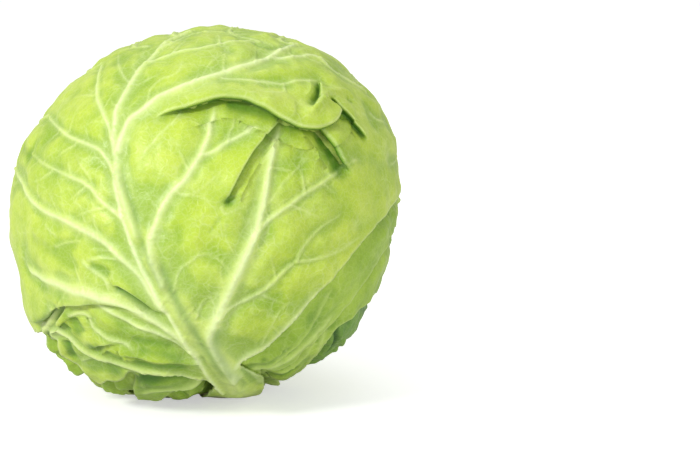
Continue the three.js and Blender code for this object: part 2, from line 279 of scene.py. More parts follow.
SHAPES['leaf_back_left'] = dict(c=(-116, 0), o=[('b', 0, 8), ('b', -20, 0)] + ll([(-62, -68)]) + px([(96, 381), (84, 375), (74, 368), (62, 362), (54, 352), (49, 343)]) + ll([(-76, -24), (-74, -10), (-70, 14), (-80, 38), (-104, 54), (-136, 56), (-158, 44), (-168, 22), (-166, -6), (-160, -30), (-156, -52), (-158, -70)]))
SHAPES['leaf_back_right'] = dict(c=(135, 2), o=[('b', 24, 8), ('b', 34, 0), ('b', 44, -4)] + ll([(70, -54), (68, -44), (74, -34), (82, -24), (88, -10), (92, 14), (102, 38), (126, 56), (154, 58), (178, 46), (-170, 24), (-174, -4), (-178, -30), (178, -52), (170, -72)]))
SHAPES['leaf_back'] = dict(c=(-176, 8), o=[('b', 12, 14), ('b', 0, 12), ('b', -8, 6)] + ll([(-116, -66), (-122, -48), (-120, -24), (-118, 4), (-122, 34), (-134, 58), (-160, 72), (150, 72), (122, 60), (114, 36), (114, 8), (120, -22), (128, -48), (138, -68)]) + [('b', 22, 12)])
ORDER = list(SHAPES)

for name, s in SHAPES.items():
    s['chart'] = Chart(from_ll([s['c']])[0])
    d = dirs(s['o'])
    P = spline(d * 88.0, 1.3, closed=True)
    wob = noise(P, 9.0, len(name)) * 0.5 + noise(P, 3.5, len(name) + 1) * 0.25
    P = P + unit(np.cross(P, np.roll(P, -1, 0) - P)) * wob[:, None]
    d = unit(P)
    # the base keeps clear of the stem
    cosang = d @ STEM
    lim = math.cos(math.radians(STEM_GAP))
    m = cosang > lim
    if m.any():
        perp = unit(d[m] - cosang[m][:, None] * STEM)
        d[m] = lim * STEM + math.sin(math.radians(STEM_GAP)) * perp
    xy = s['chart'].to(d)
    keep = [0]
    for i in range(1, len(xy)):
        if np.linalg.norm(xy[i] - xy[keep[-1]]) > 0.7 and np.linalg.norm(xy[i] - xy[0]) > 0.7:
            keep.append(i)
    s['poly'] = xy[keep]


GRID = 2.0
for s in SHAPES.values():
    lo, hi = s['poly'].min(0) - 14, s['poly'].max(0) + 14
    nx, ny = (np.ceil((hi - lo) / GRID) + 1).astype(int)
    gx, gy = np.meshgrid(lo[0] + GRID * np.arange(nx), lo[1] + GRID * np.arange(ny), indexing='ij')
    xy = np.stack([gx.ravel(), gy.ravel()], -1)
    g = edge_distance(s['poly'][::2], xy)
    s['lo'], s['field'] = lo, np.where(inside(s['poly'], xy), -g, g).reshape(nx, ny)


def outside_by(name, d):
    """Distance outside a leaf's edge, below zero within the leaf; far away it is just large."""
    s = SHAPES[name]
    q = (s['chart'].to(d) - s['lo']) / GRID
    f = s['field']
    ok = (q[:, 0] > 0) & (q[:, 1] > 0) & (q[:, 0] < f.shape[0] - 1.001) & (q[:, 1] < f.shape[1] - 1.001)
    q = np.where(ok[:, None], q, 0.5)
    i = np.floor(q).astype(int); t = q - i
    a, b = i[:, 0], i[:, 1]
    v = (f[a, b] * (1 - t[:, 0]) + f[a + 1, b] * t[:, 0]) * (1 - t[:, 1]) + (f[a, b + 1] * (1 - t[:, 0]) + f[a + 1, b + 1] * t[:, 0]) * t[:, 1]
    return np.where(ok, v, 99.0)


def cover(name, d, margin=2.5, fade=8.0):
    """1 where a leaf lies over these directions, fading to 0 outside it."""
    return 1 - smooth((outside_by(name, d) - margin) / fade)


# ----------------------------------------------------------- what is on a leaf
def V(items, w, h, m, back=None):
    """A vein: half width w, height h and paleness m, each as (start, end)."""
    return dict(k='vein', q=line3(items, 1.6), w=(w[0] * 1.3, w[1] * 1.3), h=h, m=m)


def G(items, w, h, dark=(0, 0)):
    """A groove, or a ridge with no paleness; the last argument paints shade into the groove, darkening its colour."""
    return dict(k='groove', q=line3(items), w=w, h=h, dark=dark)


def F(items, over, h, ends=(0.15, 0.15), size=1.0, dark=0.9, deep=2.2):
    """A fold, where the side named overlaps the other; ends are the shares over which it dies out; the last two
    arguments set the strength and the reach of the shadow painted under the overlap.
    """
    return dict(k='fold', q=line3(items, 0.8), over=over, h=h, ends=ends, size=size, dark=dark, deep=deep)


# a blob, a swell or a pit; its fourth argument paints shade into a pit
def B(at, r, h=0.0, dark=0.0, pale=0.0):
    d = dirs([at])[0]
    return dict(k='blob', c=d * surface(d), r=r, h=h, dark=dark, pale=pale)


# the folded cross-section: distance across, where it goes, and how high
FOLD_V = np.array([-14, -9, -5.5, -3.2, -1.9, -1.1, -0.5, 0.0, 0.6, 1.3, 2.3, 4.0, 7.0, 11.0])
FOLD_X = np.array([-14, -8.5, -4.2, -1.1, 1.0, 2.1, 2.3, 1.2, -0.5, -1.0, 0.3, 3.1, 6.7, 11.0])
FOLD_Z = np.array([0, 0.20, 0.42, 0.58, 0.62, 0.52, 0.28, 0.02, -0.22, -0.38, -0.46, -0.36, -0.14, 0.0])


def apply_features(P, feats, att):
    """Offsets (n,3) for the points, and into att the paleness of veins, with painted highlights along fold crests, and
    the painted shade of creases, pits and folds.
    """
    n = len(P)
    N = unit(P)
    H = np.zeros(n)
    off = np.zeros((n, 3))
    major = np.full(n, 12.0)
    for f in feats:
        if f['k'] == 'vein':
            w1 = max(f['w'])
            idx, s, t, _, _ = near(P, f['q'], max(12.0, 3.2 * w1))
            if len(idx) == 0:
                continue
            tt = t
            w = f['w'][0] + (f['w'][1] - f['w'][0]) * tt
            h = f['h'][0] + (f['h'][1] - f['h'][0]) * tt
            m = f['m'][0] + (f['m'][1] - f['m'][0]) * tt
            end = smooth((1 - tt) / 0.08) * 0.6 + 0.4
            g = np.exp(-(s / w) ** 2)
            H[idx] += (1.25 * h * g - 0.42 * h * np.exp(-((s - 2.4 * w) / (1.2 * w)) ** 2)) * end
            att['vein'][idx] = np.maximum(att['vein'][idx], m * (0.80 * np.exp(-(s / (0.85 * w)) ** 2) + 0.34 * np.exp(-(s / (w * 2.9)) ** 2)) * end)
            if w1 > 0.55:
                major[idx] = np.minimum(major[idx], s)
        elif f['k'] == 'groove':
            idx, s, t, _, _ = near(P, f['q'], 3.0 * max(f['w']))
            if len(idx) == 0:
                continue
            w = f['w'][0] + (f['w'][1] - f['w'][0]) * t
            h = f['h'][0] + (f['h'][1] - f['h'][0]) * t
            e = smooth(t / 0.15) * smooth((1 - t) / 0.15)
            g = np.exp(-(s / w) ** 2)
            H[idx] += h * g * e
            # painted shade along the groove, strongest at its floor
            dk = f['dark'][0] + (f['dark'][1] - f['dark'][0]) * t
            att['dark'][idx] = np.maximum(att['dark'][idx], dk * g * e)
        elif f['k'] == 'blob':
            s = np.linalg.norm(P - f['c'], axis=1)
            idx = np.nonzero(s < 2.6 * f['r'])[0]
            g = np.exp(-(s[idx] / f['r']) ** 2)
            H[idx] += f['h'] * g
            # painted shade in the blob's pit
            att['dark'][idx] = np.maximum(att['dark'][idx], f['dark'] * g)
            att['vein'][idx] = np.maximum(att['vein'][idx], f['pale'] * g)
        elif f['k'] == 'fold':
            z = f['size']
            idx, s, t, pt, tan = near(P, f['q'], 14.0 * z)
            if len(idx) == 0:
                continue
            nrm = N[idx]
            side = np.einsum('ij,ij->i', np.cross(tan, P[idx] - pt), nrm)
            sgn = np.where(side > 0, 1.0, -1.0) * (1.0 if f['over'] == 'L' else -1.0)
            v = -sgn * s                      # below zero on the overlapping side
            e = smooth(t / max(1e-3, f['ends'][0])) * smooth((1 - t) / max(1e-3, f['ends'][1]))
            lead = unit(np.cross(tan, nrm)) * (1.0 if f['over'] == 'L' else -1.0)  # towards the covered side
            x = np.interp(v / z, FOLD_V, FOLD_X) * z
            zz = np.interp(v / z, FOLD_V, FOLD_Z)
            off[idx] += (e * (x - v))[:, None] * lead + (e * zz * f['h'])[:, None] * nrm
            # painted shadow under the overlap and down its wall, fading beyond it
            deep = np.where(v / z > 0.6, np.exp(-(np.maximum(0, v / z - 0.6) / (f['deep'] / z)) ** 2), smooth((v / z + 1.15) / 0.55))
            att['dark'][idx] = np.maximum(att['dark'][idx], f['dark'] * e * deep)
            # painted highlight along the rolled crest of the fold, kept with the vein paleness
            rim = np.exp(-((v / z + 1.55) / 0.38) ** 2)
            att['vein'][idx] = np.maximum(att['vein'][idx], 0.45 * e * rim)
    return off, H, major, N


# the front leaf, whose lines follow what the photograph shows
MID = [('b', 25, -16), ('p', 240, 391), ('p', 231, 380), ('p', 218, 364), ('p', 203, 346), ('p', 188, 324), ('p', 172, 300), ('p', 158, 276), ('p', 147, 255), ('p', 137, 235), ('p', 127, 212), ('p', 121, 190), ('p', 116, 165), ('p', 113, 140), ('p', 115, 124)]
FRONT = [
    V(MID[:10], (6.2, 2.6), (2.3, 1.5), (0.30, 0.42)),
    V(MID[9:], (2.2, 1.2), (1.4, 1.0), (0.5, 0.8)),
    V(px([(115, 124), (117, 110), (122, 98), (130, 83), (138, 70), (147, 60), (155, 52), (165, 43), (175, 37), (190, 31)]), (1.3, 0.8), (0.9, 0.6), (0.9, 0.5)),
    V(px([(222, 391), (213, 383), (200, 365), (195, 357), (180, 335), (165, 311), (150, 286), (137, 262), (128, 235), (121, 215), (116, 190), (112, 165)]), (0.8, 1.1), (0.8, 0.5), (0.95, 0.95)),
    G(px([(122, 160), (123, 180), (133, 210), (143, 245), (150, 262), (158, 280), (170, 300)]), (1.4, 1.8), (-0.9, -0.8), (0.35, 0.4)),
    G(px([(155, 250), (160, 265), (170, 290), (180, 308), (195, 333), (207, 350), (220, 370), (230, 382)]), (2.1, 2.4), (-1.4, -1.6), (0.45, 0.55)),
    # right-hand laterals
    V(px([(162, 285), (152, 262), (149, 245), (155, 225), (162, 208), (172, 192), (183, 182), (192, 168), (200, 155), (207, 140), (212, 122), (215, 108)]), (1.5, 0.8), (0.9, 0.7), (0.8, 0.8)),
    V(px([(203, 155), (216, 150), (225, 143), (235, 138), (244, 133), (252, 129), (257, 126)]), (0.8, 0.6), (0.6, 0.5), (0.7, 0.75)),
    V(px([(118, 150), (122, 135), (130, 120), (145, 108), (160, 97), (180, 88), (200, 80), (220, 73), (240, 67), (260, 60), (275, 53), (287, 47), (297, 44)]), (1.5, 1.0), (1.2, 0.8), (0.9, 0.9)),
    V(px([(270, 56), (285, 57), (300, 56), (310, 55), (320, 58), (330, 66), (345, 76), (357, 85), (367, 92)]), (0.9, 0.6), (0.5, 0.5), (0.75, 0.6)),
    V(px([(235, 376), (222, 362), (214, 350), (210, 340), (213, 328), (220, 312), (228, 295), (235, 280), (243, 262), (250, 248), (257, 230), (262, 210), (266, 190), (270, 165), (275, 145), (280, 130), (281, 127)]), (2.4, 0.9), (1.6, 0.7), (0.9, 0.85)),
    V(px([(255, 240), (265, 225), (275, 215), (290, 205), (303, 195), (318, 186), (335, 174), (352, 160)]), (0.9, 0.4), (0.6, 0.4), (0.7, 0.4)),
    G(px([(219, 326), (216, 335), (216, 347), (223, 361), (233, 376)]), (2.2, 2.2), (-1.1, -1.2), (0.4, 0.45)),
    V(px([(220, 320), (228, 311), (240, 304), (255, 297), (268, 288), (280, 276), (290, 267), (297, 262)]), (0.8, 0.5), (0.6, 0.4), (0.7, 0.4)),
    V(px([(297, 262), (303, 248), (312, 237), (325, 225), (342, 214)]), (0.5, 0.3), (0.35, 0.25), (0.4, 0.3)),
    V(px([(297, 262), (318, 259), (340, 250), (360, 236)]), (0.5, 0.3), (0.35, 0.25), (0.4, 0.3)),
    V(px([(236, 366), (250, 357), (265, 349), (280, 335), (290, 324), (300, 314), (310, 302), (321, 289)]), (1.6, 0.7), (0.5, 0.3), (0.75, 0.6)),
    V(px([(228, 350), (235, 346), (247, 346)]), (0.4, 0.3), (0.25, 0.2), (0.4, 0.3)),
    V(px([(262, 346), (268, 332), (275, 320), (281, 311), (290, 303)]), (0.45, 0.3), (0.3, 0.2), (0.4, 0.25)),
    # small right-hand veins
    V(px([(173, 292), (176, 280), (180, 270), (190, 262), (200, 255), (215, 255)]), (0.5, 0.3), (0.35, 0.2), (0.5, 0.3)),
    V(px([(196, 318), (202, 305), (208, 300), (215, 301)]), (0.5, 0.3), (0.3, 0.2), (0.5, 0.3)),
    V(px([(146, 152), (155, 141), (165, 130), (175, 121), (183, 110)]), (0.4, 0.3), (0.3, 0.2), (0.45, 0.35)),
    V(px([(172, 192), (186, 196), (200, 190), (214, 178), (222, 170)]), (0.35, 0.25), (0.2, 0.2), (0.3, 0.2)),
    V(px([(262, 210), (275, 196), (284, 182), (296, 170), (308, 158)]), (0.4, 0.3), (0.25, 0.2), (0.4, 0.25)),
    V(px([(228, 295), (222, 282), (221, 268), (226, 255)]), (0.35, 0.25), (0.2, 0.15), (0.35, 0.2)),
    V(px([(243, 262), (232, 250), (226, 238), (224, 222)]), (0.35, 0.25), (0.2, 0.15), (0.35, 0.2)),
    # left-hand laterals
    V(px([(112, 140), (107, 122), (101, 108), (97, 98), (97, 85), (99, 72), (102, 63)]), (0.8, 0.5), (0.6, 0.5), (0.75, 0.5)),
    V(px([(114, 172), (105, 157), (98, 149), (85, 143), (70, 137), (62, 131), (52, 122), (48, 115)]), (0.9, 0.5), (0.7, 0.5), (0.75, 0.5)),
    V(px([(121, 218), (112, 210), (100, 200), (92, 190), (82, 182), (70, 177), (60, 172), (44, 164), (30, 152)]), (0.9, 0.4), (0.7, 0.4), (0.75, 0.35)),
    V(px([(162, 308), (150, 292), (137, 275), (120, 258), (105, 244), (90, 234), (75, 226), (60, 218), (45, 211), (35, 204), (25, 190), (20, 180), (15, 168)]), (1.3, 0.8), (1.0, 0.8), (0.85, 0.6)),
    V(px([(195, 355), (185, 345), (175, 337), (160, 327), (145, 317), (130, 308), (115, 300), (100, 295), (90, 291), (70, 287), (55, 282), (40, 277), (30, 270), (26, 265)]), (1.5, 1.1), (1.1, 0.9), (0.9, 0.8)),
    V(px([(83, 262), (95, 273), (105, 280), (109, 290)]), (0.5, 0.5), (0.35, 0.35), (0.5, 0.6)),
    V(px([(88, 260), (105, 258), (120, 261)]), (0.4, 0.4), (0.3, 0.3), (0.4, 0.5)),
    V(px([(55, 247), (65, 243), (80, 241)]), (0.4, 0.3), (0.3, 0.2), (0.35, 0.3)),
    V(px([(46, 224), (52, 232), (56, 237)]), (0.4, 0.3), (0.3, 0.2), (0.35, 0.3)),
    V(px([(98, 295), (88, 305), (80, 312)]), (0.3, 0.3), (0.1, 0.1), (0.1, 0.1)),
    V(px([(90, 234), (84, 222), (80, 208), (74, 198)]), (0.4, 0.3), (0.25, 0.2), (0.35, 0.2)),
    V(px([(60, 218), (54, 204), (50, 192)]), (0.4, 0.3), (0.25, 0.2), (0.35, 0.2)),
    V(px([(92, 190), (88, 176), (80, 164), (76, 154)]), (0.4, 0.3), (0.25, 0.2), (0.35, 0.2)),
    V(px([(70, 287), (62, 296), (56, 303)]), (0.4, 0.3), (0.2, 0.2), (0.3, 0.2)),
    # top
    V(px([(146, 62), (165, 56), (180, 51), (195, 48), (210, 45), (225, 42), (240, 40), (260, 41)]), (0.7, 0.5), (0.5, 0.4), (0.7, 0.6)),
    V(px([(158, 50), (176, 40), (190, 33), (215, 31), (235, 32), (250, 33)]), (0.6, 0.5), (0.4, 0.3), (0.5, 0.4)),
    V(px([(146, 106), (150, 90), (160, 80), (172, 77), (180, 70), (182, 60)]), (0.4, 0.3), (0.25, 0.2), (0.4, 0.3)),
    V(px([(130, 83), (122, 74), (118, 64), (118, 54)]), (0.5, 0.3), (0.3, 0.2), (0.45, 0.3)),
    V(px([(200, 80), (206, 68), (216, 58), (228, 52)]), (0.35, 0.25), (0.2, 0.15), (0.35, 0.2)),
    V(px([(222, 77), (250, 80), (270, 81), (284, 83), (300, 80), (318, 80)]), (0.55, 0.5), (0.35, 0.3), (0.6, 0.45)),
    V(px([(284, 83), (284, 92), (272, 94), (258, 92)]), (0.4, 0.3), (0.3, 0.2), (0.5, 0.3)),
    # deep creases and pockets on the left
    F(px([(110, 284), (117, 283), (123, 285), (132, 291), (145, 302), (155, 311), (165, 321)]), 'L', 2.8, (0.08, 0.3), 0.44, 1.0, 2.2),
    G(px([(112, 287), (122, 290), (133, 297), (143, 305), (154, 314)]), (2.0, 2.0), (-1.2, -1.0), (0.85, 0.7)),
    G(px([(88, 265), (100, 269), (110, 276)]), (2.2, 2.0), (-0.8, -0.6), (0.35, 0.3)),
    # the curled lip at the lower left
    F(px([(29, 322), (34, 320), (45, 315), (52, 307), (58, 303), (68, 301), (85, 301), (100, 302), (115, 305), (125, 308), (138, 315)]), 'L', 4.4, (0.25, 0.35), 0.8, 0.9, 2.0),
    G(px([(33, 321), (40, 319), (50, 313), (58, 306)]), (1.7, 1.7), (-1.6, -1.6), (1.0, 0.9)),
    V(px([(55, 307), (50, 320), (43, 333)]), (1.2, 1.0), (1.6, 1.0), (0.75, 0.6)),
    F(px([(68, 300), (67, 308), (64, 315), (59, 322), (53, 329)]), 'L', 2.8, (0.04, 0.3), 0.42, 0.95, 1.2),
    G(px([(60, 306), (59, 316), (54, 326)]), (1.5, 1.5), (-1.2, -1.0), (0.35, 0.3)),
    # the lower-left part beneath the lip
    V(px([(90, 303), (105, 310), (120, 318), (135, 326), (150, 332), (165, 339), (180, 347), (193, 356)]), (0.8, 1.0), (0.7, 0.8), (0.75, 0.8)),
    V(px([(70, 317), (78, 314), (86, 315), (90, 320), (93, 328), (100, 333), (112, 340), (125, 345), (132, 350)]), (0.5, 0.6), (0.5, 0.5), (0.6, 0.65)),
    G(px([(58, 331), (65, 329), (71, 329)]), (1.2, 1.2), (-1.2, -1.2), (0.6, 0.6)),
    B(('p', 77, 332), 3.0, -1.0, 0.5), B(('p', 93, 348), 3.2, -1.8, 0.9), B(('p', 99, 346), 2.6, -1.0, 0.7), B(('p', 66, 329), 2.2, -0.9, 0.6),
    B(('p', 115, 372), 5.5, -0.9, 0.6), B(('p', 96, 366), 4.5, -0.7, 0.45), B(('p', 120, 330), 5.0, -0.4, 0.25), B(('p', 48, 336), 1.8, -1.2, 0.8),
    F(px([(88, 351), (94, 346), (100, 343), (108, 343), (122, 348)]), 'L', 2.6, (0.2, 0.4), 0.5, 0.95, 2.4),
    F(px([(116, 350), (122, 353), (130, 355), (145, 357), (160, 359), (175, 361), (190, 364), (200, 366)]), 'L', 2.6, (0.08, 0.1), 0.42, 1.0, 2.0),
    G(px([(128, 362), (148, 366), (168, 369), (190, 372)]), (3.0, 2.4), (-0.9, -0.9), (0.72, 0.66)),
    G(px([(128, 341), (145, 343), (160, 346), (175, 352)]), (2.8, 2.0), (-0.8, -0.6), (0.55, 0.45)),
    G(px([(135, 350), (152, 352), (170, 356), (188, 361)]), (2.2, 1.8), (-0.4, -0.3), (0.45, 0.4)),
    G(px([(70, 323), (78, 326), (84, 334)]), (2.2, 2.0), (-1.0, -0.8), (0.5, 0.4)),
    G(px([(104, 352), (112, 356), (124, 361)]), (2.4, 2.0), (-0.8, -0.6), (0.5, 0.4)),
    G(px([(36, 284), (50, 290), (66, 295)]), (3.0, 2.6), (-0.6, -0.5), (0.25, 0.2)),
    G(px([(18, 140), (24, 148), (30, 158)]), (3.0, 2.4), (-1.0, -0.8), (0.45, 0.35)),
    G(px([(30, 236), (44, 246), (58, 256)]), (3.4, 3.0), (-0.7, -0.5), (0.25, 0.2)),
    V(px([(50, 334), (60, 334), (68, 338), (75, 345), (85, 353), (95, 358), (110, 363), (125, 367), (140, 371), (175, 376), (208, 381)]), (0.95, 0.75), (1.1, 0.7), (0.85, 0.6)),
    G(px([(63, 341), (67, 347), (70, 354), (72, 360)]), (2.6, 2.2), (-2.2, -1.6), (0.9, 0.7)),
    G(px([(58, 341), (62, 350), (69, 360), (78, 367)]), (0.7, 0.7), (1.0, 0.8), (0, 0)),
    V(px([(80, 362), (90, 360), (100, 362)]), (0.5, 0.5), (0.4, 0.4), (0.4, 0.4)),
    B(('p', 93, 370), 4.0, -0.8, 0.35), B(('p', 116, 372), 5.0, -0.8, 0.45),
    # front-right pleat and the pit where it ends
    F(px([(281, 117), (277, 121), (270, 128), (262, 137), (252, 149), (245, 160), (238, 172), (231, 186), (226, 197), (225, 205)]), 'R', 3.0, (0.10, 0.10), 0.55, 0.75, 2.4),
    G(px([(284, 126), (266, 144), (253, 162), (243, 180), (236, 196)]), (3.0, 2.2), (-0.5, -0.5), (0.14, 0.16)),
    B(('p', 229, 201), 2.2, -1.5, 0.75), B(('p', 232, 198), 3.4, -0.8, 0.45),
    V(px([(221, 208), (225, 214), (235, 210), (246, 206)]), (0.35, 0.3), (0.25, 0.2), (0.35, 0.25)),
    G(px([(222, 215), (215, 225), (208, 235)]), (0.8, 0.7), (-0.4, -0.3), (0.25, 0.2)),
    # the overhanging fold at the top right, down along the strap
    F(px([(146, 122), (158, 117), (166, 113), (180, 108), (200, 102), (218, 97), (230, 97), (245, 100), (258, 106), (275, 115), (290, 122), (300, 126), (312, 127), (322, 124.5), (329, 120.5), (333, 115), (334, 108), (332, 100)]), 'L', 5.2, (0.2, 0.06), 1.0, 1.0, 3.0),
    F(px([(321, 122), (325, 129), (331, 138), (338, 149), (344, 159), (349, 168), (353, 178)]), 'L', 4.2, (0.1, 0.35), 1.05, 1.0, 3.4),
    B(('p', 321, 131), 3.0, -0.8, 0.8), B(('p', 326, 140), 4.2, -1.4, 0.95), B(('p', 333, 152), 4.8, -1.8, 1.0), B(('p', 339, 165), 4.6, -1.4, 0.9), B(('p', 325, 152), 6.0, -0.5, 0.45),
    G(px([(222, 103), (236, 104), (250, 108), (262, 113), (274, 119)]), (4.2, 2.4), (-0.4, -0.2), (1.0, 0.6)),
    G(px([(262, 96), (280, 103), (296, 109)]), (6.0, 5.0), (0.8, 0.6), (0, 0)),
    G(px([(300, 119), (307, 112), (315, 107), (320, 103), (326, 97), (330, 93), (338, 91), (347, 93), (356, 98)]), (1.9, 1.6), (2.0, 1.2), (0, 0)),
    F(px([(320, 81), (321, 88), (320, 95), (317, 101), (311, 107), (304, 112)]), 'L', 2.4, (0.1, 0.4), 0.5, 0.85, 2.4),
    F(px([(330, 97), (336, 103), (343, 110), (350, 117.5), (356, 125.5), (362, 134), (368, 143)]), 'L', 3.0, (0.1, 0.2), 0.5, 1.0, 1.8),
    G(px([(318, 84), (318, 91), (315, 98), (307, 106)]), (1.8, 1.4), (-1.0, -0.5), (0.4, 0.2)),
    G(px([(332, 101), (335, 108), (341, 114), (349, 121)]), (1.5, 1.2), (-1.4, -0.8), (0.9, 0.6)),
    V(px([(372, 112), (380, 120), (390, 123)]), (0.5, 0.4), (0.4, 0.3), (0.5, 0.4)),
    G(px([(346, 98), (352, 103)]), (1.2, 1.2), (-0.8, -0.8), (0.4, 0.4)),
    # silhouette folds on the crown
    G(px([(262, 38), (275, 33), (290, 38), (300, 43)]), (2.2, 2.0), (1.0, 0.8), (0, 0)),
    G(px([(252, 40), (262, 45), (280, 47), (292, 44)]), (1.6, 1.6), (-1.0, -0.8), (0.3, 0.3)),
    # the petiole's ribs at the base
    G(px([(246, 386), (238, 377), (233, 371)]), (1.6, 1.6), (-0.8, -0.6), (0.35, 0.3)),
    G(px([(228, 389), (219, 379), (208, 363)]), (1.5, 1.5), (-0.5, -0.4), (0.2, 0.15)),
    V(px([(240, 387), (231, 376), (222, 364)]), (1.0, 0.9), (0.6, 0.5), (0.4, 0.3)),
    G(px([(240, 368), (248, 376), (256, 384)]), (1.6, 1.8), (-0.6, -0.5), (0.35, 0.2)),
    V(px([(262, 384), (252, 375), (243, 367), (252, 359)]), (1.0, 0.8), (0.4, 0.3), (0.45, 0.5)),
    # over the crown to the back, and the far right side
    V([('p', 190, 31)] + ll([(-60, 80), (-150, 74), (-178, 62)]), (0.9, 0.5), (0.6, 0.4), (0.6, 0.4)),
    V([('p', 102, 63)] + ll([(-82, 52), (-112, 50), (-136, 46)]), (0.6, 0.4), (0.5, 0.4), (0.5, 0.35)),
    V([('p', 147, 45)] + ll([(-74, 68), (-128, 64), (-160, 56)]), (0.6, 0.4), (0.5, 0.4), (0.5, 0.35)),
    V([('p', 48, 115)] + ll([(-88, 30), (-108, 32), (-122, 32)]), (0.6, 0.4), (0.5, 0.4), (0.5, 0.35)),
    V([('p', 15, 168)] + ll([(-92, 8), (-104, 14), (-114, 18)]), (0.7, 0.4), (0.6, 0.4), (0.5, 0.35)),
    V([('p', 260, 41)] + ll([(60, 80), (140, 74), (170, 62)]), (0.6, 0.4), (0.5, 0.4), (0.5, 0.35)),
    V([('p', 297, 44)] + ll([(82, 66), (120, 62), (146, 54)]), (0.8, 0.4), (0.6, 0.4), (0.6, 0.35)),
    V([('p', 367, 92)] + ll([(88, 40), (108, 42), (128, 40)]), (0.6, 0.4), (0.5, 0.4), (0.5, 0.35)),
    V([('p', 352, 160)] + ll([(82, 16), (98, 18), (112, 18)]), (0.5, 0.4), (0.4, 0.3), (0.4, 0.3)),
]


def twigs(feats, seed, least=0.75, gap=(7.0, 12.0)):
    """Small side veins that leave each larger vein at a wide angle, left and right in turn."""
    rng = np.random.RandomState(seed)
    out = []
    for f in feats:
        if f['k'] != 'vein' or max(f['w']) < least:
            continue
        q = f['q']
        seg = np.linalg.norm(np.diff(q, axis=0), axis=1)
        run = np.concatenate([[0], np.cumsum(seg)])
        at, side = rng.uniform(*gap), 1
        while at < run[-1] - 3:
            k = min(len(q) - 2, int(np.searchsorted(run, at)))
            if q[k, 2] < -78:
                at += rng.uniform(*gap); side = -side
                continue
            c, fwd = unit(q[k]), unit(q[k + 1] - q[k])
            lat = unit(np.cross(c, fwd)) * side
            a = math.radians(rng.uniform(42, 68))
            g = fwd * math.cos(a) + lat * math.sin(a)
            L, pts = rng.uniform(8, 19) / 88.0, [c]
            steps, bend = 8, rng.uniform(-0.07, 0.12)
            for _ in range(steps):
                c = unit(c + g * L / steps)
                g = unit(g + fwd * bend + rng.normal(size=3) * 0.10)
                pts.append(c)
            pts = np.array(pts)
            at += rng.uniform(*gap); side = -side
            z = rng.uniform(0.7, 1.2)
            if any(np.linalg.norm(pts[:, None] * 88 - f2['q'][None, ::3], axis=2).min() < 4.5 for f2 in feats if f2['k'] == 'fold'):
                continue
            out.append(dict(k='vein', q=spline(pts * surface(pts)[:, None], 1.6), w=(0.55 * z, 0.3 * z), h=(0.34 * z, 0.10), m=(0.42 * z, 0.10)))
    return out


def auto_veins(base, tip, width, count, seed, scale=1.0):
    """A midrib from base to tip with laterals curving off it, for a leaf seen from outside."""
    rng = np.random.RandomState(seed)
    b, t = unit(base), unit(tip)
    out = []
    om = math.acos(float(np.clip(b @ t, -1, 1)))
    side = unit(np.cross(b, t))
    mid = []
    for k in range(14):
        f = k / 13
        m = (math.sin((1 - f) * om) * b + math.sin(f * om) * t) / math.sin(om)
        mid.append(unit(m + side * 0.05 * math.sin(2.4 * f + seed)))
    mid = np.array(mid)
    q = spline(mid * surface(mid)[:, None], 1.0)
    out.append(dict(k='vein', q=q, w=(3.6 * scale, 0.7 * scale), h=(2.0, 0.6), m=(0.85, 0.6)))
    for i in range(count):
        for sg in (-1, 1):
            f = 0.14 + 0.74 * (i + (0.5 if sg > 0 else 0.0)) / count + rng.uniform(-0.02, 0.02)
            k = min(12, int(f * 13)); u = f * 13 - k
            p = unit(mid[k] * (1 - u) + mid[k + 1] * u)
            fwd = unit(mid[min(13, k + 1)] - mid[k])
            lat = unit(np.cross(p, fwd)) * sg
            L = width * (0.55 + 0.6 * math.sin(math.pi * min(1, f + 0.12))) * rng.uniform(0.85, 1.1)
            pts, cur, ang = [p], p, math.radians(38 + 14 * (1 - f))
            steps = 12
            for j in range(steps):
                dirn = fwd * math.cos(ang) + lat * math.sin(ang)
                cur = unit(cur + dirn * L / steps)
                ang += math.radians(rng.uniform(-5, 2.5))
                pts.append(cur)
            pts = np.array(pts)
            ql = spline(pts * surface(pts)[:, None], 1.0)
            sc = rng.uniform(0.8, 1.15) * scale
            out.append(dict(k='vein', q=ql, w=(1.1 * sc, 0.4 * sc), h=(0.9, 0.35), m=(0.8, 0.4)))
            for jj in (5, 8):
                if rng.rand() < 0.6:
                    c2, a2, s2 = pts[jj], ang + rng.uniform(-0.2, 0.2), rng.choice([-1, 1])
                    f2 = unit(pts[jj] - pts[jj - 1]); l2 = unit(np.cross(c2, f2)) * s2
                    br = [c2]
                    for _ in range(7):
                        c2 = unit(c2 + (f2 * 0.72 + l2 * 0.68) * L * 0.26 / 7)
                        f2 = unit(f2 + l2 * rng.uniform(-0.06, 0.02)); br.append(c2)
                    br = np.array(br)
                    out.append(dict(k='vein', q=spline(br * surface(br)[:, None], 1.0), w=(0.5 * sc, 0.3 * sc), h=(0.35, 0.2), m=(0.5, 0.25)))
    return out


def radial(items):
    return dirs(items)


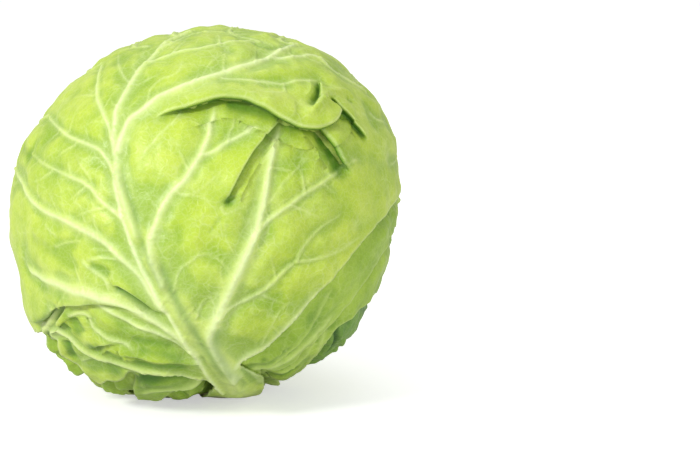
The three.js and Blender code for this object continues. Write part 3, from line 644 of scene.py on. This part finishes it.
LEAF_FEATS = {
    'leaf_front': FRONT,
    'leaf_right': [
        V(px([(250, 376), (270, 367), (290, 352), (305, 336), (315, 322), (324, 306), (334, 292)]), (0.8, 0.4), (0.6, 0.4), (0.45, 0.35)),
        V(px([(275, 364), (283, 352), (288, 342)]), (0.4, 0.3), (0.3, 0.2), (0.3, 0.2)),
        V(px([(246, 379), (262, 372), (280, 364), (294, 355), (305, 345), (315, 335), (324, 325), (333, 314)]), (1.7, 0.8), (0.8, 0.4), (0.85, 0.6)),
        B(('p', 265, 362), 1.4, -0.5, 0.5),
    ] + auto_veins(radial([('b', 26, -14)])[0], from_ll([(104, 34)])[0], 0.55, 6, 5, 0.8),
    'leaf_right_lower': [
        V(px([(252, 386), (272, 379), (296, 366), (312, 350), (326, 333)]), (1.2, 0.6), (0.7, 0.4), (0.5, 0.4)),
        V(px([(300, 371), (312, 358), (323, 342), (334, 322)]), (0.7, 0.5), (0.4, 0.3), (0.5, 0.5)),
        G(px([(262, 386), (282, 377), (300, 366)]), (2.0, 2.0), (-0.8, -0.6), (0.45, 0.35)),
    ] + auto_veins(radial([('b', 32, -8)])[0], from_ll([(112, 26)])[0], 0.5, 5, 9, 0.8),
    'leaf_bottom_front': [
        V(px([(213, 383), (200, 385), (180, 389), (165, 391), (150, 392), (143, 394)]), (1.6, 1.0), (1.1, 0.7), (0.85, 0.7)),
        V(px([(131, 374), (137, 381), (144, 390)]), (0.5, 0.5), (0.5, 0.4), (0.4, 0.4)),
        G(px([(133, 378), (140, 382), (150, 383), (168, 381), (195, 380)]), (4.2, 2.4), (-1.6, -0.9), (1.0, 0.5)),
    ],
    'leaf_bottom_small': [
        V(px([(212, 386), (205, 392), (200, 397)]), (0.6, 0.5), (0.5, 0.4), (0.3, 0.3)),
        G(px([(212, 388), (204, 394)]), (1.0, 1.0), (-0.8, -0.8), (0.6, 0.6)),
        G(px([(170, 396), (185, 391), (200, 388)]), (2.0, 2.0), (-1.0, -1.0), (0.6, 0.5)),
    ],
    'leaf_bottom_left': [
        G(px([(104, 378), (112, 383), (120, 382), (126, 380)]), (2.0, 2.0), (-2.4, -2.4), (1.0, 1.0)),
        G(px([(103, 386), (112, 385), (117, 389), (122, 394)]), (1.1, 1.1), (1.6, 1.4), (0, 0)),
        G(px([(116, 390), (116, 386), (122, 384), (128, 387), (131, 391)]), (1.0, 1.0), (1.9, 1.6), (0, 0)),
        G(px([(118, 389), (123, 388), (127, 391)]), (0.8, 0.8), (-1.6, -1.6), (0.7, 0.7)),
    ],
    'leaf_lower_right': [
        G(px([(314, 358), (322, 349), (330, 338), (334, 327)]), (1.3, 1.3), (-2.4, -2.4), (1.0, 1.0)),
        G(px([(318, 359), (327, 350), (333, 340), (337, 330)]), (1.3, 1.3), (1.8, 1.8), (0, 0)),
        G(px([(326, 354), (334, 345), (338, 336), (340, 328)]), (1.2, 1.2), (-1.8, -1.8), (0.8, 0.8)),
        G(px([(332, 352), (339, 345), (343, 338)]), (1.3, 1.3), (1.4, 1.4), (0, 0)),
    ] + auto_veins(radial([('b', 44, -2)])[0], from_ll([(120, 14)])[0], 0.42, 5, 3, 0.8),
    'leaf_back_left': [
        V(px([(96, 380), (84, 373), (70, 363), (60, 352)]), (0.7, 0.5), (0.6, 0.4), (0.5, 0.4)),
    ] + auto_veins(radial([('b', -12, 2)])[0], from_ll([(-124, 48)])[0], 0.72, 8, 11, 1.0),
    'leaf_back_right': auto_veins(radial([('b', 32, 8)])[0], from_ll([(140, 50)])[0], 0.72, 8, 21, 1.0),
    'leaf_back': auto_veins(radial([('b', 4, 14)])[0], from_ll([(-176, 62)])[0], 0.9, 9, 31, 1.2),
}
for _k, _n in enumerate(ORDER):
    LEAF_FEATS[_n] = LEAF_FEATS[_n] + (twigs(LEAF_FEATS[_n], 40 + _k) if _n == "leaf_front" else twigs(LEAF_FEATS[_n], 40 + _k, 1.5, (16.0, 26.0)))
# spacing of the fine mesh, low swells, crumple, blade thickness at the edge
SETTINGS = {
    'leaf_front': dict(h=0.92, swell=1.0, crumple=0.0, t=0.9),
    'leaf_right': dict(h=0.95, swell=0.8, crumple=0.25, t=0.8),
    'leaf_right_lower': dict(h=0.95, swell=0.8, crumple=0.3, t=0.8),
    'leaf_bottom_front': dict(h=0.8, swell=0.6, crumple=0.3, t=0.8),
    'leaf_bottom_small': dict(h=0.8, swell=0.6, crumple=0.8, t=0.7),
    'leaf_bottom_left': dict(h=0.8, swell=0.8, crumple=1.1, t=0.7),
    'leaf_lower_right': dict(h=0.9, swell=0.6, crumple=0.75, t=0.6, bias=-0.6),
    'leaf_back_left': dict(h=1.05, swell=1.2, crumple=0.3, t=0.8),
    'leaf_back_right': dict(h=1.05, swell=1.2, crumple=0.3, t=0.8),
    'leaf_back': dict(h=1.1, swell=1.2, crumple=0.3, t=0.8),
}
SINK = 2.6          # how far a covered leaf lies under the one above


def triangulate(poly, pts):
    n = len(poly)
    vs = [Vector((float(x), float(y))) for x, y in poly] + [Vector((float(x), float(y))) for x, y in pts]
    r = delaunay_2d_cdt(vs, [(i, (i + 1) % n) for i in range(n)], [], 1, 1e-5)
    co = np.array([(v[0], v[1]) for v in r[0]])
    tris = np.array([f for f in r[2] if len(f) == 3], int)
    rim = {}
    for i, o in enumerate(r[3]):
        for k in o:
            if k < n:
                rim[k] = i
    rim = np.array([rim[k] for k in range(n)])
    a, b, c = co[tris[:, 0]], co[tris[:, 1]], co[tris[:, 2]]
    area = (b[:, 0] - a[:, 0]) * (c[:, 1] - a[:, 1]) - (b[:, 1] - a[:, 1]) * (c[:, 0] - a[:, 0])
    tris[area < 0] = tris[area < 0][:, ::-1]
    tris = tris[np.abs(area) > 1e-9]
    return co, tris, rim


def lattice(lo, hi, h):
    ny = int((hi[1] - lo[1]) / (h * 0.866)) + 2
    nx = int((hi[0] - lo[0]) / h) + 2
    j, i = np.mgrid[0:ny, 0:nx]
    x = lo[0] + (i + 0.5 * (j % 2)) * h
    y = lo[1] + j * h * 0.866
    return np.stack([x.ravel(), y.ravel()], -1)


HOLLOWS = [f for f in FRONT if f['k'] != 'vein']


def pressed(d, base):
    """How far the front leaf's hollows push in, below zero, where it lies over these directions."""
    c = cover('leaf_front', d, 0.0, 5.0)
    out = np.zeros(len(d))
    m = c > 0
    if m.any():
        P = d[m] * base[m][:, None]
        off, H, _, N = apply_features(P, HOLLOWS, {'vein': np.zeros(len(P)), 'dark': np.zeros(len(P))})
        out[m] = c[m] * np.minimum(0, H + (off * N).sum(1))
    return out


def gather(d):
    """Share of the spacing between leaves, which shrinks towards the stem."""
    ang = np.degrees(np.arccos(np.clip(d @ STEM, -1, 1)))
    return 0.42 + 0.58 * smooth((ang - STEM_GAP) / 15.0)


def leaf_shape(name, index, xy, extra=None):
    """Positions of chart points on a leaf's outer face, with its attributes."""
    s, cfg = SHAPES[name], SETTINGS[name]
    d = s['chart'].back(xy)
    base = surface(d)
    near_stem = gather(d)
    sunk = np.zeros(len(d)); hid = np.zeros(len(d))
    for other in ORDER[:index]:
        c = cover(other, d)
        sunk += SINK * c * near_stem
        hid = np.maximum(hid, cover(other, d, -2.0, 4.0))
    if index:
        sunk = sunk - pressed(d, base)
    P = d * base[:, None]
    att = {'vein': np.zeros(len(d)), 'dark': np.zeros(len(d))}
    off, H, major, N = apply_features(P, LEAF_FEATS[name], att)
    seed = index * 3 + 1
    H += cfg['swell'] * (1.25 * (1 - np.exp(-(major / 7.5) ** 2)) - 0.55)
    H += cfg['swell'] * (0.9 * noise(P, 17.0, seed) + 0.6 * noise(P, 8.5, seed + 1))
    H += 0.10 * noise(P, 3.4, seed + 2) + 0.10 * (0.35 - np.abs(noise(P, 6.0, seed + 3)))
    H += cfg.get('bias', 0.0)
    if cfg['crumple']:
        k = cfg['crumple']
        H += k * (1.2 * noise(P, 9.0, seed + 5) + 1.6 * (0.4 - np.abs(noise(P, 6.0, seed + 6))) + 0.5 * noise(P, 3.4, seed + 7))
    dist = np.maximum(0.0, -outside_by(name, d))
    close = dist < 9.0
    dist[close] = edge_distance(s['poly'], xy[close])
    # the free edge waves a little and turns outwards
    e = np.exp(-(dist / 3.0) ** 2)
    H += e * (0.5 + 0.7 * noise(P, 11.0, seed + 8) + 0.35 * noise(P, 4.0, seed + 9)) * 0.6
    att['edge'] = np.exp(-(dist / 0.9) ** 2)
    # the height, kept so the material paints light onto the swells and shade into the hollows
    att['relief_shading'] = np.clip(0.5 + 0.42 * H, 0, 1)
    # under the head it lies flat, and near the stem it is calm
    low = smooth((P[:, 2] + 86.0) / 6.0)
    calm = smooth((np.degrees(np.arccos(np.clip(d @ STEM, -1, 1))) - STEM_GAP) / 7.0) * 0.8 + 0.2
    H *= low * calm
    amp = (1 - hid)
    pos = P + off * (low * amp)[:, None] + N * (H * amp - sunk)[:, None]
    return pos, d, dist, att, np.minimum(0, (H + (off * N).sum(1) * low) * amp) - sunk


def blender_mesh(name, verts, tris, atts, mat):
    me = bpy.data.meshes.new(name)
    nv, nt = len(verts), len(tris)
    me.vertices.add(nv)
    me.vertices.foreach_set("co", ((verts + CENTRE) / 1000.0).astype(np.float32).ravel())
    me.loops.add(nt * 3)
    me.loops.foreach_set("vertex_index", tris.astype(np.int32).ravel())
    me.polygons.add(nt)
    me.polygons.foreach_set("loop_start", np.arange(0, nt * 3, 3, dtype=np.int32))
    me.polygons.foreach_set("loop_total", np.full(nt, 3, np.int32))
    me.polygons.foreach_set("use_smooth", np.ones(nt, bool))
    me.update(calc_edges=True)
    me.validate()
    for k, v in atts.items():
        a = me.attributes.new(k, 'FLOAT', 'POINT')
        a.data.foreach_set("value", v.astype(np.float32))
    me.materials.append(mat)
    ob = bpy.data.objects.new(name, me)
    bpy.context.scene.collection.objects.link(ob)
    return ob


def make_leaf(name, mat):
    index = ORDER.index(name)
    s, cfg = SHAPES[name], SETTINGS[name]
    poly = s['poly']
    h = cfg['h']
    lo, hi = poly.min(0), poly.max(0)
    pts = lattice(lo, hi, h)
    pts = pts[inside(poly, pts)]
    pts = pts[edge_distance(poly, pts) > 0.45 * h]
    d = s['chart'].back(pts)
    if index:
        deep = np.ones(len(pts))
        for other in ORDER[:index]:
            deep = np.minimum(deep, 1 - cover(other, d, -9.0, 0.5))
        seen = deep > 0.5
    else:
        seen = np.ones(len(pts), bool)
    # fine rows along each fold
    rows = []
    for f in LEAF_FEATS[name]:
        if f['k'] != 'fold':
            continue
        q = f['q']; z = f['size']
        tan = unit(np.gradient(q, axis=0)); nrm = unit(q); side = np.cross(nrm, tan)
        qd = unit(q)
        close = s['chart'].to(qd)
        keep = edge_distance_open(close, pts) > 3.3 * z
        pts, seen = pts[keep], seen[keep]
        for kk, v in enumerate(np.concatenate([np.arange(-3.1, 3.2, 0.36)]) * z):
            r = unit(q + side * v)
            rr = s['chart'].to(r)
            if kk % 2:
                rr = 0.5 * (rr[:-1] + rr[1:])
            rows.append(rr)
    coarse = lattice(lo, hi, 4.0)
    coarse = coarse[inside(poly, coarse)]
    coarse = coarse[edge_distance(poly, coarse) > 2.0]
    inner_pts = coarse
    if name == 'leaf_front':
        inner_pts = lattice(lo, hi, 2.9)
        inner_pts = inner_pts[inside(poly, inner_pts)]
        inner_pts = inner_pts[edge_distance(poly, inner_pts) > 1.6]
    if (~seen).any():
        dc = s['chart'].back(coarse)
        deep = np.ones(len(coarse))
        for other in ORDER[:index]:
            deep = np.minimum(deep, 1 - cover(other, dc, -9.0, 0.5))
        allp = [pts[seen], coarse[deep <= 0.5]]
    else:
        allp = [pts]
    if rows:
        rr = np.concatenate(rows)
        rr = rr[inside(poly, rr)]
        rr = rr[edge_distance(poly, rr) > 0.3]
        allp.append(rr)
    co, tris, rim = triangulate(poly, np.concatenate(allp))
    pos, d, dist, att, _ = leaf_shape(name, index, co)
    # the face turned to the head: coarse, and sharing the rim
    ci, ti, ri = triangulate(poly, inner_pts)
    pi, di, disti, _, under = leaf_shape(name, index, ci)
    smoothpos = di * (surface(di) + under)[:, None]
    w = np.exp(-(disti / 2.2) ** 2)[:, None]
    thick = gather(di)[:, None]
    inner = pi * w + smoothpos * (1 - w) - di * (cfg['t'] * w + 1.7 * (1 - w)) * thick
    inner[ri] = pos[rim] - d[rim] * cfg['t'] * gather(d[rim])[:, None]
    z = lambda a: np.stack([a[:, 0], a[:, 1], np.maximum(a[:, 2], -86.0 + 0.05)], -1)
    pos, inner = z(pos), z(inner)
    no = len(pos)
    # rim strip, with a rounded middle row
    mid = 0.5 * (pos[rim] + inner[ri])
    nxt = np.roll(mid, -1, 0) - np.roll(mid, 1, 0)
    outw = unit(np.cross(nxt, d[rim]))
    mid = z(mid + outw * 0.25)
    verts = np.concatenate([pos, inner, mid])
    n = len(rim)
    k = np.arange(n); k1 = (k + 1) % n
    o, o1 = rim[k], rim[k1]
    m, m1 = no + len(inner) + k, no + len(inner) + k1
    i, i1 = no + ri[k], no + ri[k1]
    strip = np.concatenate([np.stack([o, m, m1], 1), np.stack([o, m1, o1], 1), np.stack([m, i, i1], 1), np.stack([m, i1, m1], 1)])
    faces = np.concatenate([tris, ti[:, ::-1] + no, strip])
    # the outline may run either way round: the strip must turn with the faces
    a2 = 0.5 * np.sum(poly[:, 0] * np.roll(poly[:, 1], -1) - np.roll(poly[:, 0], -1) * poly[:, 1])
    if a2 < 0:
        faces[len(tris) + len(ti):] = faces[len(tris) + len(ti):][:, ::-1]
    atts = {}
    for key, under in (('vein', 0.15), ('dark', 0.1), ('edge', 0.0), ('relief_shading', 0.5)):
        v = att[key]
        atts[key] = np.concatenate([v, np.full(len(inner), under), v[rim]])
    ob = blender_mesh(name + "_blade", verts, faces, atts, mat)
    print(name, "verts", len(verts), "tris", len(faces))
    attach(ob, "root")
    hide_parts(name)
    return ob


def edge_distance_open(line, xy, chunk=4000):
    a, b = line[:-1], line[1:]
    ab = b - a
    L = np.maximum((ab ** 2).sum(1), 1e-9)
    out = np.empty(len(xy))
    for i in range(0, len(xy), chunk):
        p = xy[i:i + chunk, None, :] - a[None]
        t = np.clip((p * ab).sum(2) / L, 0, 1)
        out[i:i + chunk] = np.sqrt(((p - t[..., None] * ab) ** 2).sum(2).min(1))
    return out


# ---------------------------------------------------------------- materials
def srgb(r, g, b):
    f = lambda c: (c / 255 / 12.92) if c / 255 <= 0.04045 else ((c / 255 + 0.055) / 1.055) ** 2.4
    return (f(r), f(g), f(b), 1.0)


def leaf_material(name, light, mid, deep, vein, bloom, rough=0.46, sheen=0.06, cell=1.0):
    m = bpy.data.materials.new(name)
    m.use_nodes = True
    nt = m.node_tree
    N, L = nt.nodes, nt.links
    N.clear()
    out = N.new("ShaderNodeOutputMaterial")
    bs = N.new("ShaderNodeBsdfPrincipled")
    L.new(bs.outputs[0], out.inputs[0])
    co = N.new("ShaderNodeTexCoord").outputs["Object"]

    def math_(op, a, b=None, clamp=False):
        n = N.new("ShaderNodeMath"); n.operation = op; n.use_clamp = clamp
        for i, v in enumerate((a, b)):
            if v is None:
                continue
            if isinstance(v, (int, float)):
                n.inputs[i].default_value = v
            else:
                L.new(v, n.inputs[i])
        return n.outputs[0]

    def mix(fac, a, b, mode='MIX'):
        n = N.new("ShaderNodeMix"); n.data_type = 'RGBA'; n.blend_type = mode
        if isinstance(fac, (int, float)):
            n.inputs[0].default_value = fac
        else:
            L.new(fac, n.inputs[0])
        for i, v in ((6, a), (7, b)):
            if isinstance(v, tuple):
                n.inputs[i].default_value = v
            else:
                L.new(v, n.inputs[i])
        return n.outputs[2]

    def tex(scale, detail=3.0, rough_=0.5, distort=0.0):
        n = N.new("ShaderNodeTexNoise")
        L.new(co, n.inputs["Vector"])
        n.inputs["Scale"].default_value = scale
        n.inputs["Detail"].default_value = detail
        n.inputs["Roughness"].default_value = rough_
        n.inputs["Distortion"].default_value = distort
        return n.outputs["Fac"]

    def ramp(v, lo, hi):
        n = N.new("ShaderNodeMapRange")
        n.interpolation_type = 'SMOOTHSTEP'
        L.new(v, n.inputs["Value"])
        n.inputs["From Min"].default_value = lo
        n.inputs["From Max"].default_value = hi
        return n.outputs["Result"]

    def attr(k):
        n = N.new("ShaderNodeAttribute"); n.attribute_name = k
        return n.outputs["Fac"]

    def cells(scale, width):
        warp = N.new("ShaderNodeVectorMath"); warp.operation = 'ADD'
        wn = N.new("ShaderNodeTexNoise"); L.new(co, wn.inputs["Vector"])
        wn.inputs["Scale"].default_value = scale * 0.55; wn.inputs["Detail"].default_value = 3.0
        sc = N.new("ShaderNodeVectorMath"); sc.operation = 'SCALE'
        L.new(wn.outputs["Color"], sc.inputs[0]); sc.inputs["Scale"].default_value = 1.5 / scale
        L.new(co, warp.inputs[0]); L.new(sc.outputs[0], warp.inputs[1])
        v = N.new("ShaderNodeTexVoronoi"); v.feature = 'DISTANCE_TO_EDGE'
        L.new(warp.outputs[0], v.inputs["Vector"])
        v.inputs["Scale"].default_value = scale
        n = N.new("ShaderNodeMapRange"); n.interpolation_type = 'SMOOTHSTEP'
        L.new(v.outputs["Distance"], n.inputs["Value"])
        n.inputs["From Min"].default_value = 0.0; n.inputs["From Max"].default_value = width
        n.inputs["To Min"].default_value = 1.0; n.inputs["To Max"].default_value = 0.0
        return n.outputs["Result"]

    vein_and_crest_highlight, dark, edge = attr("vein"), attr("dark"), attr("edge")
    big = ramp(tex(26.0, 3.0, 0.55, 0.4), 0.36, 0.66)
    med = ramp(tex(85.0, 4.0, 0.6, 0.3), 0.34, 0.7)
    fine = tex(520.0, 3.0, 0.6)
    net1 = cells(170.0 * cell, 0.10)
    net2 = cells(430.0 * cell, 0.14)
    patch = ramp(tex(60.0, 2.0), 0.42, 0.62)
    relief_shading = attr("relief_shading")
    col = mix(math_('MULTIPLY', big, 0.8), mid, light)
    # painted light on the swells and painted shade in the hollows, set by the height attribute
    col = mix(math_('MULTIPLY', ramp(relief_shading, 0.55, 1.0), 0.55), col, light)
    low = N.new("ShaderNodeMapRange"); low.interpolation_type = 'SMOOTHSTEP'
    L.new(relief_shading, low.inputs["Value"])
    low.inputs["From Min"].default_value = 0.08; low.inputs["From Max"].default_value = 0.52
    low.inputs["To Min"].default_value = 0.75; low.inputs["To Max"].default_value = 0.0
    col = mix(low.outputs["Result"], col, deep)
    col = mix(math_('MULTIPLY', med, 0.42), col, deep)
    col = mix(math_('MULTIPLY', math_('MULTIPLY', net1, patch), 0.15), col, vein)
    col = mix(math_('MULTIPLY', net2, 0.10), col, vein)
    col = mix(math_('MULTIPLY', math_('SUBTRACT', fine, 0.4, True), 0.22), col, deep)
    streak = math_('ADD', math_('MULTIPLY', fine, 0.6), 0.62)
    # pale veins, and the painted highlight along fold crests that shares their attribute
    col = mix(math_('MULTIPLY', math_('MULTIPLY', vein_and_crest_highlight, streak), 0.80, True), col, vein)
    col = mix(math_('MULTIPLY', edge, 0.35), col, vein)
    # painted shade: creases, pits and the undersides of folds turned a deep green
    col = mix(math_('MULTIPLY', dark, 0.93, True), col, (deep[0] * 0.15, deep[1] * 0.46, deep[2] * 0.02, 1))
    # waxy bloom in soft patches
    bl = math_('MULTIPLY', ramp(tex(45.0, 3.0), 0.3, 0.65), 0.09)
    col = mix(bl, col, bloom)
    L.new(col, bs.inputs["Base Color"])
    r = math_('ADD', math_('MULTIPLY', med, 0.14), rough - 0.07)
    L.new(r, bs.inputs["Roughness"])
    bs.inputs["Specular IOR Level"].default_value = 0.42
    bs.inputs["Sheen Weight"].default_value = sheen
    bs.inputs["Sheen Roughness"].default_value = 0.5
    bs.inputs["Sheen Tint"].default_value = (0.8, 0.9, 0.45, 1)
    bs.inputs["Subsurface Weight"].default_value = 0.08
    bs.inputs["Subsurface Radius"].default_value = (0.7, 1.0, 0.25)
    bs.inputs["Subsurface Scale"].default_value = 0.0014
    # bump: fine veins stand up a little, the blade between is finely pebbled
    hgt = math_('ADD', math_('MULTIPLY', net1, 0.16), math_('MULTIPLY', net2, 0.16))
    hgt = math_('ADD', hgt, math_('MULTIPLY', fine, 0.6))
    hgt = math_('ADD', hgt, math_('MULTIPLY', tex(190.0, 4.0, 0.6), 1.1))
    bp = N.new("ShaderNodeBump")
    bp.inputs["Strength"].default_value = 0.6
    bp.inputs["Distance"].default_value = 0.0004
    L.new(hgt, bp.inputs["Height"])
    L.new(bp.outputs[0], bs.inputs["Normal"])
    return m


pale = srgb(228, 240, 182)
# leaf_mid and leaf_dark are darker copies of the bright leaf colours, painted shade for the leaves that lie low, to the
# right and under others
MATS = {
    'main': leaf_material("leaf_bright", srgb(190, 209, 74), srgb(172, 197, 54), srgb(126, 163, 24), pale, srgb(178, 197, 118)),
    'side': leaf_material("leaf_mid", srgb(164, 192, 60), srgb(140, 174, 42), srgb(96, 138, 20), srgb(206, 224, 140), srgb(156, 182, 96)),
    'dark': leaf_material("leaf_dark", srgb(126, 163, 62), srgb(92, 138, 46), srgb(52, 100, 24), srgb(174, 200, 112), srgb(110, 146, 58), sheen=0.04, cell=1.2),
    'back': leaf_material("leaf_back", srgb(184, 205, 72), srgb(166, 192, 52), srgb(120, 158, 24), pale, srgb(174, 193, 114)),
}
USE = {'leaf_front': 'main', 'leaf_right': 'side', 'leaf_right_lower': 'side', 'leaf_bottom_front': 'side', 'leaf_bottom_small': 'side',
       'leaf_bottom_left': 'side', 'leaf_lower_right': 'dark', 'leaf_back_left': 'back', 'leaf_back_right': 'back', 'leaf_back': 'back'}
for name in ORDER:
    ob = make_leaf(name, MATS[USE[name]])


# -------------------------------------------------- inner head and cut stem
def ball(name, rows, cols, radius, mat):
    th = np.linspace(-math.pi / 2, math.pi / 2, rows + 1)[1:-1]
    ph = np.arange(cols) / cols * 2 * math.pi
    T, Q = np.meshgrid(th, ph, indexing='ij')
    d = np.stack([np.cos(T) * np.sin(Q), -np.cos(T) * np.cos(Q), np.sin(T)], -1).reshape(-1, 3)
    d = np.concatenate([[[0, 0, -1.0]], d, [[0, 0, 1.0]]])
    v = d * radius(d)[:, None]
    f = []
    idx = lambda i, j: 1 + i * cols + j % cols
    for j in range(cols):
        f.append((0, idx(0, j + 1), idx(0, j)))
        f.append((len(d) - 1, idx(rows - 2, j), idx(rows - 2, j + 1)))
        for i in range(rows - 2):
            f.append((idx(i, j), idx(i, j + 1), idx(i + 1, j + 1)))
            f.append((idx(i, j), idx(i + 1, j + 1), idx(i + 1, j)))
    return blender_mesh(name, v, np.array(f), {k: np.full(len(v), a) for k, a in (('vein', 0.0), ('dark', 0.0), ('edge', 0.0), ('relief_shading', 0.5))}, mat)


def inner_radius(d):
    r = surface(d)
    for other in ORDER:
        r = r - SINK * cover(other, d, 4.0, 12.0)
    ang = np.degrees(np.arccos(np.clip(d @ STEM, -1, 1)))
    r = r + pressed(d, surface(d)) - 2.2
    top = (86.0 - 18.5) / np.maximum(1e-6, -d[:, 2])
    return np.where(ang < 20, np.minimum(r, top), r)


core = ball("inner_leaves", 60, 120, inner_radius, leaf_material("leaf_inner", srgb(226, 234, 170), srgb(214, 226, 150), srgb(190, 208, 110), pale, srgb(230, 236, 200)))
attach(core, "root"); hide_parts("inner_head")


def stem_mesh():
    cols, rows = 96, 22
    v, f = [], []
    R = STEM_RADIUS
    ring_r = np.linspace(0, R - 0.3, 12)
    v.append((STEM_X, 0, -86.0))
    rng = np.random.RandomState(3)
    def add_ring(r, z, sx, wob):
        for j in range(cols):
            t = j / cols * 2 * math.pi
            k = 1 - wob * (0.02 + 0.02 * math.sin(3 * t + 1) + 0.016 * math.sin(5 * t + 2.2) + 0.01 * math.sin(9 * t))
            v.append((sx + r * k * math.cos(t), r * k * math.sin(t), z))
    rings = [(r, -86.0, STEM_X, 1.0) for r in ring_r[1:]]
    rings += [(R, -85.7, STEM_X, 1.0)]
    for k in range(1, 9):
        z = -86 + 17 * k / 8
        rings.append((R * (1 - 0.2 * k / 8), z, STEM_X * (1 - 0.198 * k / 8), 1.0))
    rings += [(6.0, -69.0, STEM_X * 0.802, 1.0)]
    for r in rings:
        add_ring(*r)
    v.append((STEM_X * 0.802, 0, -69.0))
    n = len(rings)
    idx = lambda i, j: 1 + i * cols + j % cols
    for j in range(cols):
        f.append((0, idx(0, j + 1), idx(0, j)))
        for i in range(n - 1):
            f.append((idx(i, j), idx(i, j + 1), idx(i + 1, j + 1)))
            f.append((idx(i, j), idx(i + 1, j + 1), idx(i + 1, j)))
        f.append((len(v) - 1, idx(n - 1, j), idx(n - 1, j + 1)))
    return np.array(v, float), np.array(f)


def stem_material():
    m = bpy.data.materials.new("stem_cut")
    m.use_nodes = True
    nt = m.node_tree; N, L = nt.nodes, nt.links
    bs = N["Principled BSDF"]
    co = N.new("ShaderNodeTexCoord").outputs["Object"]
    n1 = N.new("ShaderNodeTexNoise"); L.new(co, n1.inputs["Vector"]); n1.inputs["Scale"].default_value = 130.0; n1.inputs["Detail"].default_value = 5.0
    n2 = N.new("ShaderNodeTexVoronoi"); L.new(co, n2.inputs["Vector"]); n2.inputs["Scale"].default_value = 420.0
    r = N.new("ShaderNodeValToRGB"); L.new(n1.outputs["Fac"], r.inputs[0])
    r.color_ramp.elements[0].position = 0.35; r.color_ramp.elements[0].color = srgb(196, 200, 150)
    r.color_ramp.elements[1].position = 0.68; r.color_ramp.elements[1].color = srgb(236, 238, 208)
    L.new(r.outputs[0], bs.inputs["Base Color"])
    bs.inputs["Roughness"].default_value = 0.62
    bs.inputs["Subsurface Weight"].default_value = 0.15
    bs.inputs["Subsurface Scale"].default_value = 0.003
    bp = N.new("ShaderNodeBump"); bp.inputs["Strength"].default_value = 0.5; bp.inputs["Distance"].default_value = 0.0004
    L.new(n2.outputs["Distance"], bp.inputs["Height"]); L.new(bp.outputs[0], bs.inputs["Normal"])
    return m


sv, sf = stem_mesh()
stem = blender_mesh("stem_stub", sv, sf, {}, stem_material())
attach(stem, "root"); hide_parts("cut_stem")

# --------------------------------------------------------- floor and light
bpy.ops.mesh.primitive_plane_add(size=8.0, location=(0, 0, 0))
floor = bpy.context.object
floor.name = "floor"
fm = bpy.data.materials.new("floor_white"); fm.use_nodes = True
fm.node_tree.nodes["Principled BSDF"].inputs["Base Color"].default_value = (0.74, 0.74, 0.74, 1)
fm.node_tree.nodes["Principled BSDF"].inputs["Roughness"].default_value = 0.8
fm.node_tree.nodes["Principled BSDF"].inputs["Specular IOR Level"].default_value = 0.1
fm.node_tree.nodes["Principled BSDF"].inputs["Emission Color"].default_value = (1, 1, 1, 1)
glow = fm.node_tree.nodes.new("ShaderNodeLightPath")
part = fm.node_tree.nodes.new("ShaderNodeMath"); part.operation = 'MULTIPLY'; part.inputs[1].default_value = 0.5
fm.node_tree.links.new(glow.outputs["Is Camera Ray"], part.inputs[0])
fm.node_tree.links.new(part.outputs[0], fm.node_tree.nodes["Principled BSDF"].inputs["Emission Strength"])
floor.data.materials.append(fm)

world = bpy.data.worlds.new("studio"); bpy.context.scene.world = world
world.use_nodes = True
wt = world.node_tree
soft = wt.nodes["Background"]
soft.inputs[0].default_value = (1, 1, 1, 1)
soft.inputs[1].default_value = 0.60
back = wt.nodes.new("ShaderNodeBackground")
back.inputs[0].default_value = (1, 1, 1, 1)
back.inputs[1].default_value = 1.0
seen_by = wt.nodes.new("ShaderNodeLightPath")
both = wt.nodes.new("ShaderNodeMixShader")
wt.links.new(seen_by.outputs["Is Camera Ray"], both.inputs[0])
wt.links.new(soft.outputs[0], both.inputs[1])
wt.links.new(back.outputs[0], both.inputs[2])
wt.links.new(both.outputs[0], wt.nodes["World Output"].inputs[0])


def area(name, loc, size, power, colour=(1, 1, 1)):
    l = bpy.data.lights.new(name, 'AREA'); l.shape = 'RECTANGLE'; l.size, l.size_y = size
    l.energy = power; l.color = colour
    o = bpy.data.objects.new(name, l)
    bpy.context.scene.collection.objects.link(o)
    o.location = loc
    o.rotation_euler = (Vector((0, 0, 0.08)) - Vector(loc)).to_track_quat('-Z', 'Y').to_euler()
    return o


area("key", (-0.95, -0.95, 0.9), (0.32, 0.32), 17.5)
area("fill", (0.9, -1.1, 0.45), (0.7, 0.7), 6.0)
area("top", (0.1, 0.5, 1.3), (0.9, 0.9), 4.0)
sc = bpy.context.scene
sc.view_settings.view_transform = 'Standard'
sc.view_settings.look = 'None'
sc.view_settings.exposure = 0.0
